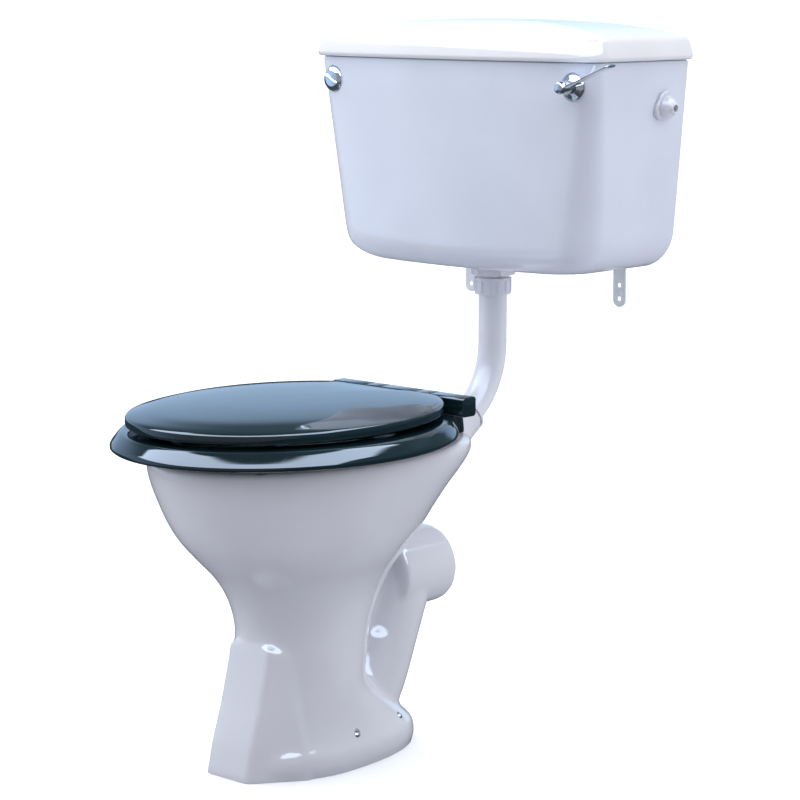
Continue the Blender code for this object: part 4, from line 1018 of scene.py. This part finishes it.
def make_siphon():
    floor = CISTERN_BOTTOM + CISTERN_FLOOR
    bell = (LEVER_ROD_X, from_wall(PIPE_DEPTH), 0.0)
    tail = on_centre(PIPE_DEPTH, 0.0)
    siphon = turned("bell_siphon", ((0.0001, BELL_LOW), (BELL_RADIUS, BELL_LOW),
                                    (BELL_RADIUS, BELL_HIGH - 0.004), (BELL_RADIUS - 0.004, BELL_HIGH),
                                    (0.0001, BELL_HIGH)), bell, UP, 72, edge=0.0015)
    legs = swept("legs", siphon_route(BELL_HIGH - 0.008, TAIL_END), SIPHON_LEG_RADIUS,
                 SIPHON_LEG_RADIUS, (0, 1, 0))
    flange = turned("flange", ((TAIL_RADIUS, TAIL_END), (TAIL_RADIUS, floor + 0.0036),
                               (0.031, floor + 0.0036), (0.031, floor + 0.0076),
                               (0.022, floor + 0.0160),
                               (SIPHON_LEG_RADIUS - 0.001, floor + 0.0200)), tail, UP)
    join(siphon, legs, flange)
    inner = SIPHON_LEG_RADIUS - 0.0022
    cut(siphon,
        turned("chamber", ((BELL_RADIUS - 0.003, BELL_LOW - 0.01),
                           (BELL_RADIUS - 0.003, BELL_HIGH - 0.005)), bell, UP, 72),
        swept("bore", siphon_route(BELL_HIGH - 0.020, TAIL_END - 0.01), inner, inner, (0, 1, 0)),
        turned("rod_hole", ((0.0036, BELL_HIGH - 0.02), (0.0036, BELL_HIGH + 0.01)), bell, UP, 24))
    thread = thread_rule().grow("thread", Turns=7, Pitch=0.0020, Thread=TAIL_RADIUS - 0.0001,
                                Crest=0.0006, Finish=finish_of("inner_plastic"))
    moved(thread, tail + Vector((0.0, 0.0, TAIL_END + 0.0010)))
    place(merge(siphon, thread), "siphon_body")


def make_float():
    """The round float with its moulding seam, its axis along the float arm."""
    low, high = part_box("float_ball")
    centre, radius = (low + high) / 2, (high.z - low.z) / 2
    pin_low, pin_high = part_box("float_pin")
    line = (centre - (pin_low + pin_high) / 2).normalized()
    shell = [(radius * cos(radians(a)), radius * sin(radians(a))) for a in range(-84, -2, 4)]
    shell += [(radius, -0.0010), (radius, 0.0010)]
    shell += [(r, -h) for r, h in shell[-3::-1]]
    place(turned("float_bulb", shell, centre, line, 72, edge=0.0), "float_ball")


# ---------------------------------------------------------------- seat
HINGE_DEPTH, HINGE_Z, HINGE_ROD = 0.285, 0.4335, 0.0030
HINGE_HALF_LENGTH, HINGE_SIZE = 0.114, 0.0250
COVER_KNUCKLE, RING_KNUCKLE = 0.0295, 0.0560
SEAT_BACK, COVER_TOP = 0.302, 0.4620


def seat_outline(half_width, front, rear, cut_off, count=144):
    """An oval seat outline whose rear is cut off square at a distance from the wall."""
    middle = (front + rear) / 2
    angles = [2 * pi * i / count for i in range(count)]
    return [(half_width * cos(a), max(middle + (front - middle) * sin(a), cut_off)) for a in angles]


def knuckle(name, low_x, high_x):
    """One square, round-edged link of the bar hinge, with its ends softened."""
    rings = []
    half = HINGE_SIZE / 2
    for x, shrink in ((low_x, 0.0012), (low_x + 0.0004, 0.0004), (low_x + 0.0012, 0.0),
                      (high_x - 0.0012, 0.0), (high_x - 0.0004, 0.0004), (high_x, 0.0012)):
        bevel, outline = 0.004, []
        for d, z, start in ((1, 1, 0), (-1, 1, 90), (-1, -1, 180), (1, -1, 270)):
            reach = half - bevel - shrink
            outline += arc((HINGE_DEPTH + d * reach, HINGE_Z + z * reach), bevel, start, start + 90, 7)
        rings.append([(x, from_wall(d), z) for d, z in outline])
    return loft(name, rings)


def hinge_bore():
    radius = HINGE_ROD + 0.0003
    return turned("hinge_bore", ((radius, -0.08), (radius, 0.08)), on_centre(HINGE_DEPTH, HINGE_Z),
                  (1, 0, 0), 32)


def make_seat_ring():
    outer = seat_outline(0.195, 0.7265, 0.2655, SEAT_BACK)
    inner = seat_outline(0.110, 0.6350, 0.3350, 0.0)
    section = ((0.04, 0.4045), (0.0, 0.4075), (0.0, 0.4105), (0.02, 0.4140), (0.125, 0.4262),
               (0.20, 0.4279), (0.50, 0.4285), (0.82, 0.4268), (0.97, 0.4205), (1.0, 0.4130),
               (0.96, 0.4050))
    rings = [[(ox + (ix - ox) * share, from_wall(od + (idist - od) * share), z)
              for (ox, od), (ix, idist) in zip(outer, inner)]
             for share, z in soften(section, 0.05, 4, closed=True)]
    ring = loft("gloss_ring", rings, closed=True)
    for side in (-1, 1):
        low, high = sorted((side * (COVER_KNUCKLE + 0.0003), side * RING_KNUCKLE))
        arm = block("arm", (low + 0.001, from_wall(0.3135), 0.4128),
                    (high - 0.001, from_wall(HINGE_DEPTH), 0.4243))
        join(ring, knuckle("link", low, high), arm)
    cut(ring, hinge_bore())
    return place(ring, "seat_ring")


def make_seat_cover():
    """The cover: a thin lip, a soft shoulder and a long low crown."""
    plan = seat_outline(0.173, 0.710, 0.280, SEAT_BACK)
    middle = 0.495                     # the level rings shrink towards this distance
    levels = through(((0.90, 0.4340), (0.975, 0.4340), (0.996, 0.4352), (1.0, 0.4375), (1.0, 0.4425),
                      (0.996, 0.4452), (0.980, 0.4474), (0.920, 0.4505), (0.80, 0.4550), (0.55, 0.4594),
                      (0.28, 0.4614), (0.02, COVER_TOP)), 45)
    rings = [[(x * share, from_wall(max(middle + (d - middle) * share, SEAT_BACK)), min(z, COVER_TOP))
              for x, d in plan] for share, z in levels]
    cover = loft("gloss_cover", rings)
    reach = COVER_KNUCKLE - 0.001      # the link's own width, less its softened ends
    arm = block("arm", (-reach, from_wall(0.330), 0.4347), (reach, from_wall(HINGE_DEPTH), 0.4432))
    join(cover, knuckle("link", -COVER_KNUCKLE, COVER_KNUCKLE), arm)
    cut(cover, hinge_bore())
    return place(cover, "seat_cover")


def make_hinge():
    for side, label in SIDES:
        low, high = sorted((side * (RING_KNUCKLE + 0.0003), side * HINGE_HALF_LENGTH))
        piece = knuckle(f"hinge_post_{label}", low, high)
        x, y = side * BOLT_X, from_wall(BOLT_DEPTH)
        foot = turned("foot", ((0.0001, RIM_TOP + 0.0003), (0.0125, RIM_TOP + 0.0003),
                               (0.0125, RIM_TOP + 0.0060), (0.0100, HINGE_Z - 0.006),
                               (0.0001, HINGE_Z - 0.006)), (x, y, 0.0), UP, 64, edge=0.0010)
        join(piece, foot)
        rod_way = ((HINGE_ROD + 0.0003, -0.1085 * side), (HINGE_ROD + 0.0003, 0.0))
        cut(piece, turned("rod_way", rod_way, on_centre(HINGE_DEPTH, HINGE_Z), (-1, 0, 0), 32),
            turned("bolt_way", ((0.0034, RIM_TOP - 0.01), (0.0034, HINGE_Z - 0.0070)), (x, y, 0.0),
                   UP, 32))
        place(piece, f"hinge_block_{label}")
        shank = ((0.0010, BOLT_END), (0.0026, BOLT_END + 0.002), (0.0026, DECK_UNDER + 0.010),
                 (0.0030, DECK_UNDER + 0.0105), (0.0030, HINGE_Z - 0.0080))
        bolt = turned(f"threaded_bolt_{label}", shank, (x, y, 0.0), UP, 32)
        thread = thread_rule().grow("thread", Turns=27, Pitch=0.0010, Thread=0.0026, Crest=0.00038,
                                    Finish=finish_of("steel"))
        moved(thread, (x, y, BOLT_END + 0.0022))
        place(merge(bolt, thread), f"hinge_bolt_{label}")
        place(hex_nut(f"seat_nut_{label}", 0.0037, 0.0150, DECK_UNDER - 0.0100, DECK_UNDER - 0.0031,
                      (x, y, 0.0), UP), f"hinge_nut_{label}")


def pad(name, radius, low, high):
    """A moulded rubber buffer, narrower at its foot."""
    return turned(name, ((0.0001, low), (radius * 0.86, low), (radius, low + (high - low) * 0.35),
                         (radius, high), (0.0001, high)), (0, 0, 0), UP, 32, edge=0.0008)


def centre_of(node):
    low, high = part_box(node)
    return ((low.x + high.x) / 2, (low.y + high.y) / 2, 0.0)


def make_buffers():
    """The rubber buffers under the ring and those under the cover, one rule for each set."""
    for name, places in (("ring", ("front_left", "front_right", "rear_left", "rear_right")),
                         ("cover", ("left", "right"))):
        nodes = [f"{name}_buffer_{where}" for where in places]
        low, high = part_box(nodes[0])
        copies(f"{name}_buffers", pad("pad", (high.x - low.x) / 2, low.z, high.z),
               [centre_of(node) for node in nodes], 0.0, *nodes)


# ---------------------------------------------------------------- settings
def colour_property(name, description, default):
    return bpy.props.FloatVectorProperty(name=name, description=description, default=default, size=3,
                                         min=0.0, max=1.0, subtype="COLOR")


class SuiteFinishSettings(bpy.types.PropertyGroup):
    """Colours of the suite's visible materials."""

    # Painted shade and light: the pan's glaze is darker than the cistern's for the shade low down and
    # under the seat, the lid's lighter for the light on its top; they are one china.
    pan: colour_property("Pan glaze", "Colour of the pan's glaze", (0.640, 0.645, 0.690))
    cistern: colour_property("Cistern glaze", "Colour of the cistern's glaze", (0.665, 0.700, 0.790))
    lid: colour_property("Lid glaze", "Colour of the cistern lid's glaze", (0.760, 0.755, 0.785))
    seat: colour_property("Seat", "Colour of the gloss seat and cover", (0.0035, 0.0120, 0.0160))
    pipe: colour_property("Flush pipe", "Colour of the white plastic outside", (0.690, 0.705, 0.765))
    float_ball: colour_property("Float", "Colour of the float", (0.720, 0.160, 0.030))


class SuiteSkinSettings(bpy.types.PropertyGroup):
    """How finely the pan's parts are melted into one casting."""

    voxel: bpy.props.FloatProperty(name="Grain",
                                   description="Size of the grid that joins the pan's parts",
                                   default=0.0036, min=0.002, max=0.01, unit="LENGTH", precision=4)
    passes: bpy.props.IntProperty(name="Smoothing", description="How often the pan's skin is smoothed",
                                  default=9, min=0, max=40)


class SuiteStageSettings(bpy.types.PropertyGroup):
    """Where the camera stands and how the studio is lit."""

    azimuth: bpy.props.FloatProperty(name="Azimuth", description="Turn of the camera around the suite",
                                     default=radians(42.5), subtype="ANGLE")
    elevation: bpy.props.FloatProperty(name="Elevation", description="Height of the camera as an angle",
                                       default=radians(9.25), subtype="ANGLE")
    distance: bpy.props.FloatProperty(name="Distance",
                                      description="From the camera to the suite's middle",
                                      default=3.34, min=1.0, unit="LENGTH")
    lens: bpy.props.FloatProperty(name="Lens", description="Focal length in millimetres on 36 mm film",
                                  default=117.2, min=20.0)
    sky: bpy.props.FloatProperty(name="Sky", description="Strength of the light from all round",
                                 default=2.25, min=0.0)
    key: bpy.props.FloatProperty(name="Key light", description="Power of the large overhead light",
                                 default=22.0, min=0.0, unit="POWER")
    floor: colour_property("Floor", "Colour of the plain floor", (0.93, 0.93, 0.93))


# ---------------------------------------------------------------- stage
LOOK_AT = Vector((0.0, 0.0735, 0.4306))
FLOOR_Z = -0.0004
# Painted shade on the floor, seen only by bounced and mirrored light.
FLOOR_BOUNCE, FLOOR_SHADED = (0.72, 0.72, 0.74), (0.40, 0.40, 0.42)
SKY_BANK = (2.7, 3.3, 4.2, 1.0)
FLOOR_MIRRORED = (0.035, 0.045, 0.055)
SHADED_MIDDLE, SHADED_FROM, SHADED_TO = (0.28, -0.42, 0.0), 0.30, 0.95
SKY_TOP, SKY_TOP_GLOSS = (0.66, 0.67, 0.70, 1.0), (0.07, 0.10, 0.13, 1.0)
SKY_WALL = (0.92, 0.94, 1.0, 1.0)
SKY_WALL_GLOSS = (0.23, 0.33, 0.47, 1.0)
SKY_NEAR_EYE = (0.14, 0.15, 0.17, 1.0)
SKY_ASIDE = (0.050, 0.075, 0.090, 1.0)
SKY_BELOW = (0.05, 0.055, 0.06, 1.0)


def aim(thing, place, target):
    thing.location = place
    thing.rotation_euler = (Vector(target) - Vector(place)).to_track_quat("-Z", "Y").to_euler()
    bpy.context.collection.objects.link(thing)


def area_light(name, place, target, width, height, power, colour):
    """A large soft light that no gloss mirrors."""
    light = bpy.data.lights.new(name, "AREA")
    light.shape = "RECTANGLE"
    light.size, light.size_y = width, height
    light.energy = power
    light.color = colour
    lamp = bpy.data.objects.new(name, light)
    lamp.visible_glossy = False
    aim(lamp, place, target)


def make_world(sky, azimuth):
    """White behind the suite, and light from above that fades downwards.

    Mirrored, the room is dimmer: dark towards the camera and on the suite's right, with one bright
    bank of light behind it on the left, high up.
    """
    world = bpy.data.worlds.new("studio")
    bpy.context.scene.world = world
    world.use_nodes = True
    nodes, links = world.node_tree.nodes, world.node_tree.links

    def node(kind, settings, **values):
        made = nodes.new(kind)
        for key, value in settings.items():
            setattr(made, key, value)
        for key, value in values.items():
            socket = made.inputs[int(key[1:])]
            if isinstance(value, bpy.types.NodeSocket):
                links.new(value, socket)
            else:
                socket.default_value = value
        return made.outputs

    def between(value, low, high):
        return node("ShaderNodeMapRange", {"interpolation_type": "SMOOTHSTEP"},
                    _0=value, _1=low, _2=high)[0]

    def along(x, y):
        return node("ShaderNodeVectorMath", {"operation": "DOT_PRODUCT"},
                    _0=direction, _1=(x, y, 0.0))["Value"]

    def mixed(factor, first, second):
        return node("ShaderNodeMix", {"data_type": "RGBA"}, _0=factor, _6=first, _7=second)[2]

    def both(*masks):
        product = masks[0]
        for mask in masks[1:]:
            product = node("ShaderNodeMath", {"operation": "MULTIPLY"}, _0=product, _1=mask)[0]
        return product

    direction = node("ShaderNodeTexCoord", {})["Generated"]
    height = node("ShaderNodeSeparateXYZ", {}, _0=direction)["Z"]
    ray = node("ShaderNodeLightPath", {})
    glossy = ray["Is Glossy Ray"]
    low = between(height, 0.62, 0.34)
    to_eye, to_right = along(sin(azimuth), -cos(azimuth)), along(cos(azimuth), sin(azimuth))
    near_eye = both(between(to_eye, -0.05, 0.65), low)
    aside = both(between(to_right, 0.50, 0.60), low, glossy)
    walls = mixed(glossy, SKY_WALL, SKY_WALL_GLOSS)
    shade = mixed(between(height, 0.30, 0.60), walls, mixed(glossy, SKY_TOP, SKY_TOP_GLOSS))
    shade = mixed(near_eye, shade, SKY_NEAR_EYE)
    shade = mixed(aside, shade, SKY_ASIDE)
    shade = mixed(between(height, -0.22, -0.34), shade, SKY_BELOW)
    bank = both(between(height, 0.42, 0.46), between(height, 0.90, 0.87),
                between(to_eye, -0.34, -0.30), between(to_right, 0.74, 0.71), glossy)
    shade = mixed(bank, shade, SKY_BANK)
    white = 1.0 / sky
    seen = mixed(ray["Is Camera Ray"], shade, (white, white, white, 1.0))
    links.new(seen, nodes["Background"].inputs["Color"])
    nodes["Background"].inputs["Strength"].default_value = sky


def make_floor(colour):
    """A pale floor that runs far behind the suite and stops a little way in front of it."""
    finish = Finish("floor", roughness=0.9, specular_ior_level=0.0)
    cloud = finish.blend(finish.noise(2.0, 3.0), tuple(colour), dimmed(colour, 0.99))
    seen = finish.node("ShaderNodeLightPath", {}, output="Is Camera Ray")
    mirrored = finish.node("ShaderNodeLightPath", {}, output="Is Glossy Ray")
    # Painted shade: to bounced light the floor is dimmer than it looks, and darkest near the pan's
    # foot, where the suite's shade falls; in reflections it is painted nearly black.
    reach = finish.node("ShaderNodeVectorMath", {"operation": "DISTANCE"}, finish.place,
                        SHADED_MIDDLE, output="Value")
    bounce = finish.blend(finish.ramp(reach, SHADED_FROM, SHADED_TO), FLOOR_SHADED, FLOOR_BOUNCE)
    unseen = finish.blend(mirrored, bounce, FLOOR_MIRRORED)
    finish.feed("Base Color", finish.blend(seen, unseen, cloud))
    corners = [(x, y, FLOOR_Z) for x, y in ((-900, -1.3), (3.0, -1.3), (3.0, 900), (-900, 900))]
    floor = mesh_object("floor", corners, [(0, 1, 2, 3)])
    floor.data.materials.append(finish.material)


def make_stage(settings):
    make_world(settings.sky, settings.azimuth)
    make_floor(settings.floor)
    a, e = settings.azimuth, settings.elevation
    back = Vector((sin(a) * cos(e), -cos(a) * cos(e), sin(e)))
    lens = bpy.data.cameras.new("camera")
    lens.lens = settings.lens
    lens.sensor_width = 36.0
    camera = bpy.data.objects.new("camera", lens)
    aim(camera, LOOK_AT + back * settings.distance, LOOK_AT)
    bpy.context.scene.camera = camera
    bpy.context.scene.view_settings.view_transform = "Standard"
    area_light("overhead", (-0.3, 0.1, 2.6), (0.0, 0.1, 0.4), 1.5, 2.2, settings.key,
               (1.0, 0.99, 0.97))
    area_light("window", (-2.6, -1.2, 1.9), (0.0, 0.0, 0.45), 1.2, 1.6, settings.key * 0.50,
               (0.93, 0.96, 1.0))


# ---------------------------------------------------------------- operators
class SuitePan(bpy.types.Operator):
    """Cast the pan with its bowl, trap, outlet and pedestal"""
    bl_idname = "suite.pan"
    bl_label = "Pan"

    def execute(self, context):
        make_pan(context.scene.suite_skin)
        return {"FINISHED"}


class SuiteFloorScrews(bpy.types.Operator):
    """Put the four screws into the pan's foot"""
    bl_idname = "suite.floor_screws"
    bl_label = "Floor screws"

    def execute(self, context):
        make_floor_screws()
        return {"FINISHED"}


class SuiteFlushPipe(bpy.types.Operator):
    """Bend the flush pipe and fit its coupling nut, back nut and cone"""
    bl_idname = "suite.flush_pipe"
    bl_label = "Flush pipe and coupling"

    def execute(self, context):
        make_flush_pipe()
        make_coupling()
        return {"FINISHED"}


class SuiteCistern(bpy.types.Operator):
    """Make the cistern and its lid"""
    bl_idname = "suite.cistern"
    bl_label = "Cistern and lid"

    def execute(self, context):
        make_cistern()
        make_lid()
        return {"FINISHED"}


class SuiteBrackets(bpy.types.Operator):
    """Put the two brackets under the cistern"""
    bl_idname = "suite.brackets"
    bl_label = "Wall brackets"

    def execute(self, context):
        make_brackets()
        return {"FINISHED"}


class SuiteFittings(bpy.types.Operator):
    """Fit the lever, the blanking cap and the overflow spout"""
    bl_idname = "suite.fittings"
    bl_label = "Lever, cap and overflow"

    def execute(self, context):
        make_lever()
        make_blanking_cap()
        make_overflow()
        return {"FINISHED"}


class SuiteInside(bpy.types.Operator):
    """Make the siphon and the float inside the cistern"""
    bl_idname = "suite.inside"
    bl_label = "Siphon and float"

    def execute(self, context):
        make_siphon()
        make_float()
        return {"FINISHED"}


class SuiteSeat(bpy.types.Operator):
    """Make the seat ring, the cover and their buffers"""
    bl_idname = "suite.seat"
    bl_label = "Seat and cover"

    def execute(self, context):
        make_seat_ring()
        make_seat_cover()
        make_buffers()
        return {"FINISHED"}


class SuiteHinge(bpy.types.Operator):
    """Make the hinge posts with their bolts and nuts"""
    bl_idname = "suite.hinge"
    bl_label = "Hinge posts and bolts"

    def execute(self, context):
        make_hinge()
        return {"FINISHED"}


class SuiteKeptPieces(bpy.types.Operator):
    """Give every piece that keeps its own shape its finish"""
    bl_idname = "suite.kept_pieces"
    bl_label = "Finish the kept pieces"

    def execute(self, context):
        for name, node in frame["nodes"].items():
            node.data.materials.clear()
            node.data.materials.append(finish_of(SLOT_OF_NODE[name]))
        return {"FINISHED"}


class SuiteStage(bpy.types.Operator):
    """Lay the floor, light the studio and stand the camera"""
    bl_idname = "suite.stage"
    bl_label = "Stage"

    def execute(self, context):
        make_stage(context.scene.suite_stage)
        return {"FINISHED"}


PIECE_OPERATORS = (SuiteKeptPieces, SuitePan, SuiteFloorScrews, SuiteFlushPipe, SuiteCistern,
                   SuiteBrackets, SuiteFittings, SuiteInside, SuiteSeat, SuiteHinge, SuiteStage)
SETTINGS = {"suite_finish": SuiteFinishSettings, "suite_skin": SuiteSkinSettings,
            "suite_stage": SuiteStageSettings}


class SuitePanel(bpy.types.Panel):
    """Sidebar panel with the suite's settings and makers"""
    bl_idname = "VIEW3D_PT_suite"
    bl_label = "Toilet suite"
    bl_space_type = "VIEW_3D"
    bl_region_type = "UI"
    bl_category = "Suite"

    def draw(self, context):
        for label, settings in SETTINGS.items():
            column = self.layout.column(align=True)
            for name in settings.__annotations__:
                column.prop(getattr(context.scene, label), name)
        for maker in PIECE_OPERATORS:
            self.layout.operator(maker.bl_idname)


def register():
    for kind in (*SETTINGS.values(), *PIECE_OPERATORS, SuitePanel):
        bpy.utils.register_class(kind)
    for label, kind in SETTINGS.items():
        setattr(bpy.types.Scene, label, bpy.props.PointerProperty(type=kind))


def unregister():
    for label in SETTINGS:
        delattr(bpy.types.Scene, label)
    for kind in reversed((*SETTINGS.values(), *PIECE_OPERATORS, SuitePanel)):
        bpy.utils.unregister_class(kind)


def main():
    register()
    for maker in PIECE_OPERATORS:
        family, action = maker.bl_idname.split(".")
        getattr(getattr(bpy.ops, family), action)()


if __name__ == "__main__":
    main()
